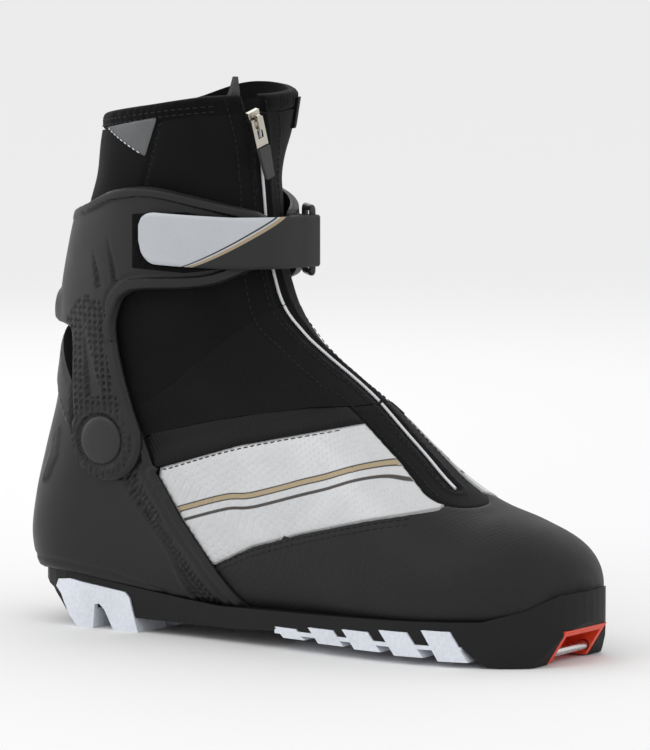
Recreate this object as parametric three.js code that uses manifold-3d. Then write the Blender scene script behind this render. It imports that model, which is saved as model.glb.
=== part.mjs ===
// Cross country skating boot, right foot.  Millimetres, +X to the toe, +Y to the
// inner (medial) side, +Z up.  The origin is on the ground, under the cuff pivots.
import * as THREE from 'three';
import { mergeVertices } from 'three/addons/utils/BufferGeometryUtils.js';
import Module from 'manifold-3d';

const wasm = await Module();
wasm.setup();

// ---------------------------------------------------------------- driving sizes
// The patterns below are drawn on a base last and graded to these three sizes.
const LAST_LENGTH = 280;
const LAST_WIDTH = 93;
const LAST_HEIGHT = 230;
const BASE_LENGTH = 280;
const BASE_WIDTH = 93;
const BASE_HEIGHT = 230;
const SEAT_Z = 13.5; // bottom of the last above the ground, at the waist
const TOE_SWING = 3; // the toe points this far to the medial side

const GAP = 0.3; // between pieces that touch
const SKIN_T = 2.0;
const LINER_T = 3.0;
const TONGUE_T = 3.0;
const COLLAR_T = 4.0;
const BINDING_T = 0.7; // the binding stands this far proud of the collar
const BINDING_H = 8;
const PULL_TAB_T = 1.5;
const COUNTER_T = 2.4;
const CUFF_T = 2.4;
const CUFF_CLEAR = 1.0; // running gap between the counter and the cuff

const PIVOT_X = 0;
const PIVOT_Z = 87;
const PIVOT_CAP_R = 11;
const PIVOT_SHANK_R = 5;
const PIVOT_RUN = 0.3; // radial clearance of the cuff on the pivot
const BOSS_R = 16.5;
const BOSS_PROUD = 1; // the cuff's boss stands out of its wall
const CAP_SINK = 1.6; // the pivot cap lies this deep in the boss
const CAP_PROUD = 0.8;
const CAP_RUN = 0.6; // radial clearance round the pivot cap
const PIVOT_FACE_GAP = 0.4; // between the counter's and the cuff's flat faces

const BOARD_TOP = 16.2;
const FOOTBED_T = 4;
const BED_TOP = BOARD_TOP + GAP + FOOTBED_T;
const SOLE_EDGE = 1.6; // the outsole stands this far out of the last
const WAIST_BOTTOM = 6.5;
const TREAD_PLATE_TOP = 9;
const TREAD_PROUD = 0.7;
const TREAD_SKIN = 2.6; // thickness of the tread where it wraps up the sole's side
const GROOVE_IN = 8; // the two binding grooves run from here ...
const GROOVE_OUT = 14; // ... to here on each side of the centre line
const GROOVE_H = 6;

const RECESS_HALF = 17; // toe recess for the ski binding
const RECESS_Y = 1.5;
const RECESS_REAR = 204;
const RECESS_TOP = 15.5;
const INSERT_T = 2.8;
const BAR_X = 216.5;
const BAR_Z = 5.2;
const BAR_R = 2;
const BAR_HALF = 21;

const STRAP_Z = 176.5;
const STRAP_H = 23;
const STRAP_T = 1.8;
const PAD_T = 1.0;
const RING_WIRE_R = 1.5;
const RING_WINDOW = STRAP_H + 3; // the strap turns freely between the rails
const EYE_T = 1.6;
const EYE_RUN = 0.35;

const TAPE_HALF = 5.2;
const TEETH_HALF = 1.5;
const PLACKET_HALF = 17;
const SLIDER_W = 6.5;
const SLIDER_L = 9.5;
const SLIDER_T = 2.2;
const PULLER_W = 6.6;
const PULLER_L = 12;
const PULLER_T = 1.2;
const TAB_L = 15.5;
const SLIDE_LIFT = 1.2; // the straight slide leaves the curved zip by this much

// ---------------------------------------------------------------- the base last
// Sections from the toe tip back along the foot and up the leg.  Each runs from the
// front line (toe top, instep, shin) to the back line (sole, heel, calf) in the side
// view: front x, z, back x, z, half width, place of the widest point counted from
// the back, and roundness (2 is an ellipse, more is squarer) at the front and back.
const SECTIONS = [
  [224, 37, 224.5, 28, 6, 0.45, 2.2, 2.6],
  [222.3, 43, 223.3, 22.5, 15, 0.42, 2.2, 3],
  [217, 49.5, 219, 19, 25.5, 0.38, 2.2, 3.5],
  [207, 55.5, 209, 17.2, 34.5, 0.34, 2.2, 4.2],
  [193, 60.5, 194, 16.2, 41, 0.32, 2.2, 4.8],
  [176, 66, 177, 15.5, 45, 0.3, 2.1, 5.2],
  [157.5, 75.5, 158, 15, 46.5, 0.3, 2.0, 5.4],
  [138, 91, 138, 14.5, 45.8, 0.31, 1.95, 5.4],
  [119.5, 107.5, 117, 14, 43.5, 0.33, 1.9, 5.2],
  [104.5, 118.5, 92, 13.5, 41.5, 0.36, 1.9, 5.2],
  [93.5, 126.5, 64, 13.5, 39.5, 0.4, 1.9, 5.2],
  [85.5, 133, 34, 13.5, 38.5, 0.44, 1.95, 5],
  [80.5, 138.5, 4, 14, 38, 0.47, 2.0, 4.8],
  [76.5, 143.5, -24, 15, 38, 0.48, 2.0, 4.6],
  [73.5, 148.5, -45, 20, 38.2, 0.48, 2.0, 4],
  [71, 153.5, -54.5, 33, 38.6, 0.48, 2.0, 3.2],
  [69, 158.5, -54.5, 52, 39, 0.48, 2.0, 2.7],
  [67, 164.5, -50, 74, 39.2, 0.48, 2.0, 2.4],
  [65, 171.5, -44.5, 96, 39.2, 0.49, 2.0, 2.25],
  [63.3, 180.5, -40.5, 121, 39, 0.5, 2.05, 2.15],
  [62, 190, -38.5, 148, 38.6, 0.5, 2.05, 2.1],
  [61, 199, -33.5, 172, 38.2, 0.5, 2.1, 2.1],
  [60.8, 207, -27.5, 193, 38, 0.5, 2.1, 2.1],
  [62, 216, -23, 210, 38.5, 0.5, 2.1, 2.1],
  [65.5, 228, -20, 225, 39.5, 0.5, 2.1, 2.1],
  [68, 243, -18.5, 240, 40.5, 0.5, 2.1, 2.1],
  [69, 262, -18, 259, 41, 0.5, 2.1, 2.1],
];
const RINGS = 26;
const SIDES = 24;

// Side-view lines on the base last, as [x, z].
const LOWER_FLEX = [[-90, 116], [-36, 112], [-20, 92], [-12, 79], [6, 79], [22, 90.5],
  [60, 99.5], [100, 105.5], [150, 108]];
const UPPER_FLEX = [[-90, 134], [-38, 130], [-12, 100], [12, 99], [32, 113], [75, 150],
  [110, 178]];
const RIM = [[-60, 230], [-10, 233], [25, 237.5], [50, 241], [90, 243]];
const QUARTER_TOP = [[26, 75], [70, 88], [121, 98.7], [150, 103]];
const QUARTER_BOTTOM = [[53, 34], [80, 44], [106.6, 51.6], [140, 59.5], [167, 64.5]];
const COUNTER_EDGE = [[80, 8], [76, 15], [58, 34], [41, 53.4], [26, 75]];
const COUNTER_TOP = [[19, 91], [10, 101], [-6, 103], [-16, 99], [-25, 104], [-36, 120],
  [-80, 122]];
const CUFF_TOP = [[-60, 181], [-30, 186], [-9, 192], [8, 199.3], [27, 201.2], [48, 195.7],
  [59.4, 190], [62, 185.8]];
const CUFF_LOW = [[62.2, 165.5], [60, 162.5], [48, 157.2], [22, 155.3], [14.4, 152.8],
  [10.6, 148], [8.2, 137], [11.5, 118.3], [16.3, 101.4]];
const CUFF_REAR = [[-14.9, 98.7], [-16.5, 116.6], [-17.5, 131], [-24, 137], [-60, 136]];
const ARM_END = [3, 87];
const ARM_END_R = 18;
const SOLE_TOP_LINE = [[-75, 24], [-50, 24.4], [-38, 25.6], [-25, 24.8], [7, 21], [40, 17.5], [60, 16],
  [105, 17], [157, 18.5], [198, 20], [214, 25], [224, 31], [240, 33]];
const ZIP_FRONT = [[-19, 250], [-16, 238], [-10, 224], [-4.5, 209], [-4, 190], [-4, 130], [-4, 60]];
const ZIP_TOP = [[85, -2], [104, 0], [128, 0], [147, -1.2], [163.5, -5.5]];
const PLACKET_END = [176, -7];

// ---------------------------------------------------------------- small helpers
const lerp = THREE.MathUtils.lerp;
const clamp = THREE.MathUtils.clamp;
const gx = (x) => x * LAST_LENGTH / BASE_LENGTH;
const gy = (y) => y * LAST_WIDTH / BASE_WIDTH;
const gz = (z) => SEAT_Z + (z - SEAT_Z) * LAST_HEIGHT / BASE_HEIGHT;
const sideLine = (points) => points.map(([x, z]) => [gx(x), gz(z)]);

function solid(geometry) {
  geometry.deleteAttribute('normal');
  geometry.deleteAttribute('uv');
  const merged = mergeVertices(geometry, 1e-5);
  return new wasm.Manifold(new wasm.Mesh({
    numProp: 3,
    vertProperties: new Float32Array(merged.attributes.position.array),
    triVerts: new Uint32Array(merged.index.array),
  }));
}

function shapeOf(points) {
  return new THREE.Shape(points.map(([a, b]) => new THREE.Vector2(a, b)));
}

function extruded(points, from, to) {
  const options = { depth: to - from, bevelEnabled: false, curveSegments: 12 };
  const geometry = new THREE.ExtrudeGeometry(shapeOf(points), options);
  geometry.translate(0, 0, from);
  return geometry;
}

// Prisms seen from the side (x, z), from above (x, y) and from the front (y, z).
function sidePrism(points, y0 = -120, y1 = 120) {
  const geometry = extruded(points, -y1, -y0);
  geometry.rotateX(Math.PI / 2);
  return solid(geometry);
}

function topPrism(points, z0 = -10, z1 = 300) {
  return solid(extruded(points, z0, z1));
}

function frontPrism(points, x0 = 0, x1 = 300) {
  const geometry = extruded(points, x0, x1);
  geometry.rotateX(Math.PI / 2);
  geometry.rotateZ(Math.PI / 2);
  return solid(geometry);
}

function block(x0, x1, y0, y1, z0, z1) {
  const geometry = new THREE.BoxGeometry(x1 - x0, y1 - y0, z1 - z0);
  geometry.translate((x0 + x1) / 2, (y0 + y1) / 2, (z0 + z1) / 2);
  return solid(geometry);
}

function barY(radius, x, z, y0, y1, sides = 28) {
  const geometry = new THREE.CylinderGeometry(radius, radius, y1 - y0, sides);
  geometry.translate(x, (y0 + y1) / 2, z);
  return solid(geometry);
}

function barZ(radius, x, y, z0, z1, sides = 16) {
  const geometry = new THREE.CylinderGeometry(radius, radius, z1 - z0, sides);
  geometry.rotateX(Math.PI / 2);
  geometry.translate(x, y, (z0 + z1) / 2);
  return solid(geometry);
}

function rounded(points, count, closed = false) {
  const curve = new THREE.CatmullRomCurve3(
    points.map(([a, b]) => new THREE.Vector3(a, b, 0)), closed, 'centripetal');
  const list = curve.getPoints(count).map((p) => [p.x, p.y]);
  return closed ? list.slice(0, -1) : list;
}

// Moves every edge of a closed outline outwards and joins the edges again.
function grow(points, distance) {
  const area = THREE.ShapeUtils.area(points.map(([x, y]) => ({ x, y })));
  const side = Math.sign(area) * distance;
  return points.map((point, i) => {
    const before = points[(i + points.length - 1) % points.length];
    const after = points[(i + 1) % points.length];
    const d0 = new THREE.Vector2(point[0] - before[0], point[1] - before[1]).normalize();
    const d1 = new THREE.Vector2(after[0] - point[0], after[1] - point[1]).normalize();
    const n = new THREE.Vector2(d0.y + d1.y, -d0.x - d1.x).normalize();
    const reach = side / Math.max(0.4, n.x * d1.y - n.y * d1.x);
    return [point[0] + n.x * reach, point[1] + n.y * reach];
  });
}

// A strip of constant width along an open line.
function strip(points, half) {
  const left = [];
  const right = [];
  points.forEach(([x, y], i) => {
    const a = points[Math.max(i - 1, 0)];
    const b = points[Math.min(i + 1, points.length - 1)];
    const d = new THREE.Vector2(b[0] - a[0], b[1] - a[1]).normalize();
    left.push([x - d.y * half, y + d.x * half]);
    right.push([x + d.y * half, y - d.x * half]);
  });
  return [...left, ...right.reverse()];
}

// ---------------------------------------------------------------- the last's surface
function sectionAt(u) {
  const last = SECTIONS.length - 1;
  const i = Math.min(Math.floor(u), last - 1);
  const t = u - i;
  const rows = [i - 1, i, i + 1, i + 2].map((k) => SECTIONS[clamp(k, 0, last)]);
  return rows[1].map((_, c) => {
    const [a, b, d, e] = rows.map((row) => row[c]);
    return b + 0.5 * t * (d - a + t * (2 * a - 5 * b + 4 * d - e + t * (3 * (b - d) + e - a)));
  });
}

// A point of the last: u counts sections from the toe, turn is 0 at the front line,
// positive to the medial side.
function lastPoint(u, turn) {
  const [fx, fz, bx, bz, width, widest, frontPower, backPower] = sectionAt(u);
  const c = Math.cos(turn);
  const s = Math.sin(turn);
  const power = 2 / (c >= 0 ? frontPower : backPower);
  const along = Math.sign(c) * Math.abs(c) ** power;
  const across = Math.sign(s) * Math.abs(s) ** power;
  const share = c >= 0 ? widest + (1 - widest) * along : widest + widest * along;
  const swing = TOE_SWING * clamp((fx + bx) / 150 - 2, 0, 1) ** 2;
  return new THREE.Vector3(
    gx(lerp(bx, fx, share)), gy(swing + width * across), gz(lerp(bz, fz, share)));
}

function lastNormal(u, turn) {
  const du = 0.02;
  const dt = 0.02;
  const top = SECTIONS.length - 1;
  const along = lastPoint(Math.min(u + du, top), turn).sub(lastPoint(Math.max(u - du, 0), turn));
  const around = lastPoint(u, turn + dt).sub(lastPoint(u, turn - dt));
  return around.cross(along).normalize();
}

// The last as a closed solid, made larger or smaller all round by an offset.
const lastCache = new Map();
function last(offset) {
  if (lastCache.has(offset)) return lastCache.get(offset);
  const positions = [];
  const index = [];
  const top = SECTIONS.length - 1;
  for (let i = 0; i <= RINGS; i += 1) {
    for (let j = 0; j < SIDES; j += 1) {
      const u = top * i / RINGS;
      const turn = 2 * Math.PI * (j + 0.5) / SIDES;
      const point = lastPoint(u, turn).addScaledVector(lastNormal(u, turn), offset);
      positions.push(point.x, point.y, point.z);
    }
  }
  for (const ring of [0, RINGS]) {
    const centre = [0, 1, 2].map((axis) => {
      let sum = 0;
      for (let j = 0; j < SIDES; j += 1) sum += positions[(ring * SIDES + j) * 3 + axis];
      return sum / SIDES;
    });
    positions.push(...centre);
  }
  const toe = (RINGS + 1) * SIDES;
  for (let j = 0; j < SIDES; j += 1) {
    const next = (j + 1) % SIDES;
    index.push(toe, next, j);
    index.push(toe + 1, RINGS * SIDES + j, RINGS * SIDES + next);
    for (let i = 0; i < RINGS; i += 1) {
      const a = i * SIDES + j;
      const b = i * SIDES + next;
      index.push(a, b, b + SIDES, a, b + SIDES, a + SIDES);
    }
  }
  const geometry = new THREE.BufferGeometry();
  geometry.setAttribute('position', new THREE.Float32BufferAttribute(positions, 3));
  geometry.setIndex(index);
  const result = solid(geometry);
  lastCache.set(offset, result);
  return result;
}

const shell = (inner, outer) => last(outer).subtract(last(inner));

// The point of the last at a given height and turn, pushed out by an offset.
function girth(z, turn, offset) {
  let low = 0;
  let high = SECTIONS.length - 1;
  for (let k = 0; k < 40; k += 1) {
    const middle = (low + high) / 2;
    if (lastPoint(middle, turn).z < z && middle > 0) low = middle;
    else high = middle;
  }
  return lastPoint(low, turn).addScaledVector(lastNormal(low, turn), offset);
}

// ---------------------------------------------------------------- materials
const paint = (color, roughness, metalness = 0) => new THREE.MeshStandardMaterial({
  color, roughness, metalness });
const materials = {
  knit: () => paint(0x151516, 0.85),
  coated: () => paint(0x2b2b2c, 0.7),
  silver: () => paint(0xc9cbcc, 0.5),
  plastic: () => paint(0x242425, 0.5),
  counter: () => paint(0x1d1d1e, 0.45),
  rubber: () => paint(0x171717, 0.7),
  tread: () => paint(0xe6e8ec, 0.55),
  red: () => paint(0xd8321c, 0.45),
  steel: () => paint(0xb9bbbd, 0.3, 1),
  nickel: () => paint(0xc4beb0, 0.25, 1),
  grey: () => paint(0x4a4a4b, 0.8),
  felt: () => paint(0x1b1b1b, 0.95),
  board: () => paint(0x8a7a62, 0.9),
  reflective: () => paint(0x7d8180, 0.4),
};

const boot = new THREE.Group();
function add(name, body, material) {
  const mesh = body.getMesh();
  const geometry = new THREE.BufferGeometry();
  geometry.setAttribute('position', new THREE.BufferAttribute(mesh.vertProperties, 3));
  geometry.setIndex(new THREE.BufferAttribute(mesh.triVerts, 1));
  geometry.computeVertexNormals();
  const node = new THREE.Mesh(geometry, material());
  node.name = name;
  boot.add(node);
}

// ---------------------------------------------------------------- cutting bodies
const lowerFlex = sideLine(LOWER_FLEX);
const upperFlex = sideLine(UPPER_FLEX);
const rim = sideLine(RIM);
const shifted = (line, dz) => line.map(([x, z]) => [x, z + dz]);
const below = (line) => [...line, [gx(320), line.at(-1)[1]], [gx(320), -40],
  [line[0][0] - 60, -40], [line[0][0] - 60, line[0][1]]];
const above = (line) => [...line, [gx(320), line.at(-1)[1]], [gx(320), 400],
  [line[0][0] - 60, 400], [line[0][0] - 60, line[0][1]]];
const counterEdge = sideLine(COUNTER_EDGE);
const quarterTop = sideLine(QUARTER_TOP);
const quarterBottom = sideLine(QUARTER_BOTTOM);
const half = GAP / 2;

const belowFlex = sidePrism(below(shifted(lowerFlex, -half)));
const aboveFlex = sidePrism(above(shifted(upperFlex, half)));
const gaiterBand = sidePrism(above(shifted(lowerFlex, half)))
  .intersect(sidePrism(below(shifted(upperFlex, -half))));
const belowRim = sidePrism(below(rim));
const aboveBoard = block(-200, 400, -200, 200, BOARD_TOP + GAP, 400);

const zipTopLine = rounded(ZIP_TOP.map(([x, y]) => [gx(x), gy(y)]), 12);
const zipFrontLine = rounded(ZIP_FRONT.map(([y, z]) => [gy(y), gz(z)]), 12);
const placketEnd = [gx(PLACKET_END[0]), gy(PLACKET_END[1])];
function placketOutline(width) {
  const edges = strip(zipTopLine, width);
  const middle = edges.length / 2;
  const tip = [placketEnd[0] + width - PLACKET_HALF, placketEnd[1]];
  return [...edges.slice(0, middle), tip, ...edges.slice(middle)];
}
const placketPrism = topPrism(placketOutline(PLACKET_HALF - half), gz(55));
const placketHole = topPrism(placketOutline(PLACKET_HALF + half), gz(55));

// ---------------------------------------------------------------- sole
const SOLE_OUTLINE = [[-50.5, 0], [-46, -20], [-28, -31.5], [5, -33.5], [45, -35], [90, -39.5],
  [130, -44], [160, -45.5], [190, -41], [212, -29.5], [224, -14], [227.5, 2], [224, 18],
  [212, 32], [190, 42], [160, 45], [130, 42.5], [90, 37], [45, 32], [5, 32.5], [-28, 31],
  [-46, 20]];
const soleOutline = rounded(SOLE_OUTLINE.map(([x, y]) => [gx(x), gy(y)]), 66, true);
const solePrism = (out, z0, z1) => topPrism(grow(soleOutline, out), z0, z1);
const soleTop = sideLine(SOLE_TOP_LINE);
const toeX = gx(BAR_X);
const soleBottom = [[-90, 20], [-50, 19.5], [-38, 16], [-32, 11], [-27, WAIST_BOTTOM],
  [70, WAIST_BOTTOM], [95, 8.5],
  [190, TREAD_PLATE_TOP], [199, 1], [205, 0.4], [216.5, 0.4], [226.5, 15.5], [228.5, 18],
  [250, 18]];

// A tread that covers the sole's underside below its plate and wraps up its edge.
function cupped(outline, margin) {
  const side = sidePrism(grow(outline, margin));
  const edge = solePrism(SOLE_EDGE + TREAD_PROUD + margin, -5, 60)
    .subtract(solePrism(SOLE_EDGE + TREAD_PROUD - TREAD_SKIN - margin, TREAD_PLATE_TOP + margin, 60));
  return side.intersect(edge);
}

const HEEL_TREAD = [[-35, 17], [-33, 20.5], [-25, 21.5], [7, 17.8], [9.5, 15.5], [12, 7.5],
  [14.5, 0], [-20, 0], [-25, 4.5], [-31, 14]];
const HEEL_NOTCH = [[0.5, -2], [0.5, 0], [-4.5, 9], [-7.5, 11.5], [-10, 11], [-11, 0], [-11, -2]];
const gripOutline = (points) => points.map(([x, z]) => [gx(x), z]);
const heelOutline = gripOutline(HEEL_TREAD);
const heelNotch = gripOutline(HEEL_NOTCH);

function heelTread() {
  let tread = cupped(heelOutline, 0);
  for (const side of [-1, 1]) {
    const near = Math.min(side * GROOVE_IN, side * 90);
    const far = Math.max(side * GROOVE_IN, side * 90);
    tread = tread.subtract(sidePrism(heelNotch, near, far));
    tread = tread.subtract(groove(side, -90, 60));
  }
  return tread;
}

function groove(side, x0, x1) {
  const a = side * GROOVE_IN;
  const b = side * GROOVE_OUT;
  return block(gx(x0), gx(x1), Math.min(a, b), Math.max(a, b), -5, GROOVE_H);
}

// Forefoot lugs, rear to front: rear top x, rear bottom x, length, bottom z, top z.
const LUGS = [[93, 98, 12, 5.6, 10], [112, 118, 14, 5.0, 11.5], [131, 138, 14, 4.4, 12.5],
  [151, 159, 14, 3.6, 14], [172, 180, 13, 2.6, 15.5]];
const LUG_ROOT = 7.2;

function lugOutline([rearTop, rearBottom, length, bottom, top]) {
  return gripOutline([[rearTop, top], [rearBottom, bottom], [rearBottom + length, bottom],
    [rearTop + length, top]]);
}

function forefootTread(side) {
  const inner = side * (GROOVE_OUT + GAP);
  const window = block(-90, 300, Math.min(inner, side * 90), Math.max(inner, side * 90), -5, 60);
  const base = gripOutline([[93, TREAD_PLATE_TOP], [93, LUG_ROOT], [190, LUG_ROOT],
    [190, TREAD_PLATE_TOP]]);
  let tread = cupped(base, 0);
  for (const lug of LUGS) tread = tread.add(cupped(lugOutline(lug), 0));
  return tread.intersect(window);
}

function treadRoom() {
  let room = cupped(heelOutline, GAP);
  const base = gripOutline([[93, TREAD_PLATE_TOP], [93, 0], [190, 0], [190, TREAD_PLATE_TOP]]);
  room = room.add(cupped(base, GAP).subtract(
    block(0, gx(191), -GROOVE_IN, GROOVE_IN, -5, 20)));
  for (const lug of LUGS) room = room.add(cupped(lugOutline(lug), GAP));
  return room;
}

function insert(margin) {
  const wall = RECESS_HALF + margin;
  return block(toeX - BAR_X + RECESS_REAR - margin, toeX + 16, RECESS_Y - wall, RECESS_Y + wall,
    -2, RECESS_TOP + margin);
}

function toeInsert() {
  const front = sidePrism([[toeX - 20, 0.8], [toeX + 0.2, 0.8], [toeX + 9.8, RECESS_TOP],
    [toeX + 9.8, RECESS_TOP + 4], [toeX - 20, RECESS_TOP + 4]]);
  const inner = block(toeX - BAR_X + RECESS_REAR + INSERT_T, toeX + 30,
    RECESS_Y + INSERT_T - RECESS_HALF, RECESS_Y + RECESS_HALF - INSERT_T, -5, RECESS_TOP - INSERT_T);
  return insert(0).intersect(front).subtract(inner).subtract(barHole());
}

const barHole = () => barY(BAR_R + GAP, toeX, BAR_Z, RECESS_Y - BAR_HALF - GAP,
  RECESS_Y + BAR_HALF + GAP, 20);

function outsole() {
  const bottom = soleBottom.map(([x, z]) => [x > 190 ? toeX - BAR_X + x : gx(x), z]);
  const side = [...soleTop, ...bottom.reverse()];
  let sole = solePrism(SOLE_EDGE, -5, 60).intersect(sidePrism(side));
  sole = sole.subtract(last(GAP)).subtract(treadRoom());
  for (const s of [-1, 1]) sole = sole.subtract(groove(s, 88, 191));
  return sole.subtract(insert(GAP)).subtract(barHole());
}

function buildSole() {
  add('outsole', outsole(), materials.rubber);
  add('heel_tread', heelTread(), materials.tread);
  add('forefoot_tread_lateral', forefootTread(-1), materials.tread);
  add('forefoot_tread_medial', forefootTread(1), materials.tread);
  add('toe_insert', toeInsert(), materials.red);
  const bar = barY(BAR_R, toeX, BAR_Z, RECESS_Y - BAR_HALF, RECESS_Y + BAR_HALF, 20);
  add('toe_bar', bar, materials.steel);
  const board = last(-GAP).intersect(block(-200, 400, -200, 200, 0, BOARD_TOP));
  add('lasting_board', board, materials.board);
  const bed = last(-SKIN_T - GAP).intersect(block(-200, 400, -200, 200, BOARD_TOP + GAP, BED_TOP));
  add('footbed', bed, materials.grey);
}

// ---------------------------------------------------------------- lower upper
const lateral = block(-300, 400, -200, -half, -50, 400);
const medial = block(-300, 400, half, 200, -50, 400);
const skin = shell(-SKIN_T, 0).intersect(aboveBoard).intersect(belowRim);
const lowerSkin = skin.intersect(belowFlex);

function buildUpper() {
  const rearOutline = [...counterEdge, ...quarterTop.slice(0, 1), [gx(22), gz(88)], [gx(19), gz(130)],
    [-300, gz(130)], [-300, -30], [counterEdge[0][0], -30]];
  const heelZone = sidePrism(grow(rearOutline, -half));
  const heelHole = sidePrism(grow(rearOutline, half));
  add('heel_quarter', lowerSkin.intersect(heelZone), materials.knit);

  const front = lowerSkin.subtract(heelHole).subtract(placketHole);
  const vampLine = [counterEdge[2], ...quarterBottom.slice(1), [gx(170), gz(80)], [gx(320), gz(80)]];
  const vamp = front.intersect(sidePrism(below(shifted(vampLine, -half))));
  add('vamp', vamp, materials.coated);
  const aboveVamp = front.intersect(sidePrism(above(shifted(vampLine, half))));
  const quarters = aboveVamp.intersect(sidePrism(below(shifted(quarterTop, -half))));
  add('quarter_lateral', quarters.intersect(lateral), materials.silver);
  add('quarter_medial', quarters.intersect(medial), materials.silver);
  const bands = aboveVamp.intersect(sidePrism(above(shifted(quarterTop, half))));
  add('ankle_band_lateral', bands.intersect(lateral), materials.coated);
  add('ankle_band_medial', bands.intersect(medial), materials.coated);

  const teeth = topPrism(strip(zipTopLine, TEETH_HALF), gz(55));
  const zipZone = sidePrism(below(shifted(lowerFlex, -half)));
  add('zip_placket', lowerSkin.intersect(placketPrism), materials.knit);
  add('zip_teeth_lower', shell(GAP, 1).intersect(teeth).intersect(zipZone), materials.steel);

  const liner = shell(-SKIN_T - GAP - LINER_T, -SKIN_T - GAP)
    .intersect(block(-200, 400, -200, 200, BED_TOP + GAP, 400)).intersect(belowFlex);
  add('liner', liner, materials.felt);
  const tongueZone = topPrism([[gx(96), -20], [gx(140), -20], [gx(150), 0], [gx(140), 20],
    [gx(96), 20]], gz(60));
  const tongueFace = -SKIN_T - 2 * GAP - LINER_T;
  const tongue = shell(tongueFace - TONGUE_T, tongueFace).intersect(tongueZone);
  add('tongue', tongue.intersect(belowFlex), materials.felt);
}

// ---------------------------------------------------------------- heel counter and pivots
const pivotX = gx(PIVOT_X);
const pivotZ = gz(PIVOT_Z);
const pivotY = girth(pivotZ, Math.PI / 2, 0).y;
const counterFace = pivotY + GAP + COUNTER_T;
const cuffFace = counterFace + PIVOT_FACE_GAP;
const cuffOuter = cuffFace + CUFF_T + BOSS_PROUD;
const capSeat = cuffFace + CAP_SINK;

function disc(radius, side, inner, outer) {
  return barY(radius, pivotX, pivotZ, Math.min(side * inner, side * outer),
    Math.max(side * inner, side * outer), 32);
}

function heelCounter() {
  const top = sideLine(COUNTER_TOP);
  const outline = [...counterEdge, ...top, [top.at(-1)[0], -30], [counterEdge[0][0], -30]];
  let counter = shell(GAP, GAP + COUNTER_T).intersect(sidePrism(outline));
  const soleLine = shifted(soleTop, GAP);
  counter = counter.intersect(sidePrism(above(soleLine)));
  for (const side of [-1, 1]) {
    counter = counter.add(disc(BOSS_R - 3, side, pivotY + GAP + 1, counterFace));
    counter = counter.subtract(disc(PIVOT_SHANK_R + GAP, side, pivotY - 4, counterFace + 2));
  }
  return counter.subtract(last(GAP));
}

function cuffOutline() {
  const [ax, az] = ARM_END;
  const arc = [];
  for (let k = 0; k <= 10; k += 1) {
    const angle = THREE.MathUtils.degToRad(lerp(15, -195, k / 10));
    arc.push([pivotX + ax + ARM_END_R * Math.cos(angle),
      pivotZ + az - PIVOT_Z + ARM_END_R * Math.sin(angle)]);
  }
  return [...sideLine(CUFF_TOP), ...sideLine(CUFF_LOW), ...arc, ...sideLine(CUFF_REAR)];
}

const cuffInner = GAP + COUNTER_T + CUFF_CLEAR;

function cuffShell() {
  let cuff = shell(cuffInner, cuffInner + CUFF_T).intersect(sidePrism(cuffOutline()));
  for (const side of [-1, 1]) {
    cuff = cuff.add(disc(BOSS_R, side, cuffFace, cuffOuter));
    cuff = cuff.subtract(disc(BOSS_R + 6, side, pivotY - 6, cuffFace));
    cuff = cuff.subtract(disc(PIVOT_SHANK_R + PIVOT_RUN, side, pivotY - 4, cuffOuter + 4));
    cuff = cuff.subtract(disc(PIVOT_CAP_R + CAP_RUN, side, capSeat, cuffOuter + 4));
  }
  return cuff;
}

function pivot(side) {
  const shank = disc(PIVOT_SHANK_R, side, pivotY + 0.6, capSeat + 1);
  return shank.add(disc(PIVOT_CAP_R, side, capSeat + GAP, cuffOuter + CAP_PROUD));
}

function buildCuff() {
  add('heel_counter', heelCounter(), materials.counter);
  add('pivot_lateral', pivot(-1), materials.plastic);
  add('pivot_medial', pivot(1), materials.plastic);
  add('cuff_shell', cuffShell(), materials.plastic);
  add('ankle_gaiter', shell(-SKIN_T, 0).intersect(gaiterBand), materials.knit);
}

// ---------------------------------------------------------------- collar and its zip
const bindingLine = shifted(rim, -BINDING_H);
const tapePrism = (width) => frontPrism(strip(zipFrontLine, width), 20, 300);

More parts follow.
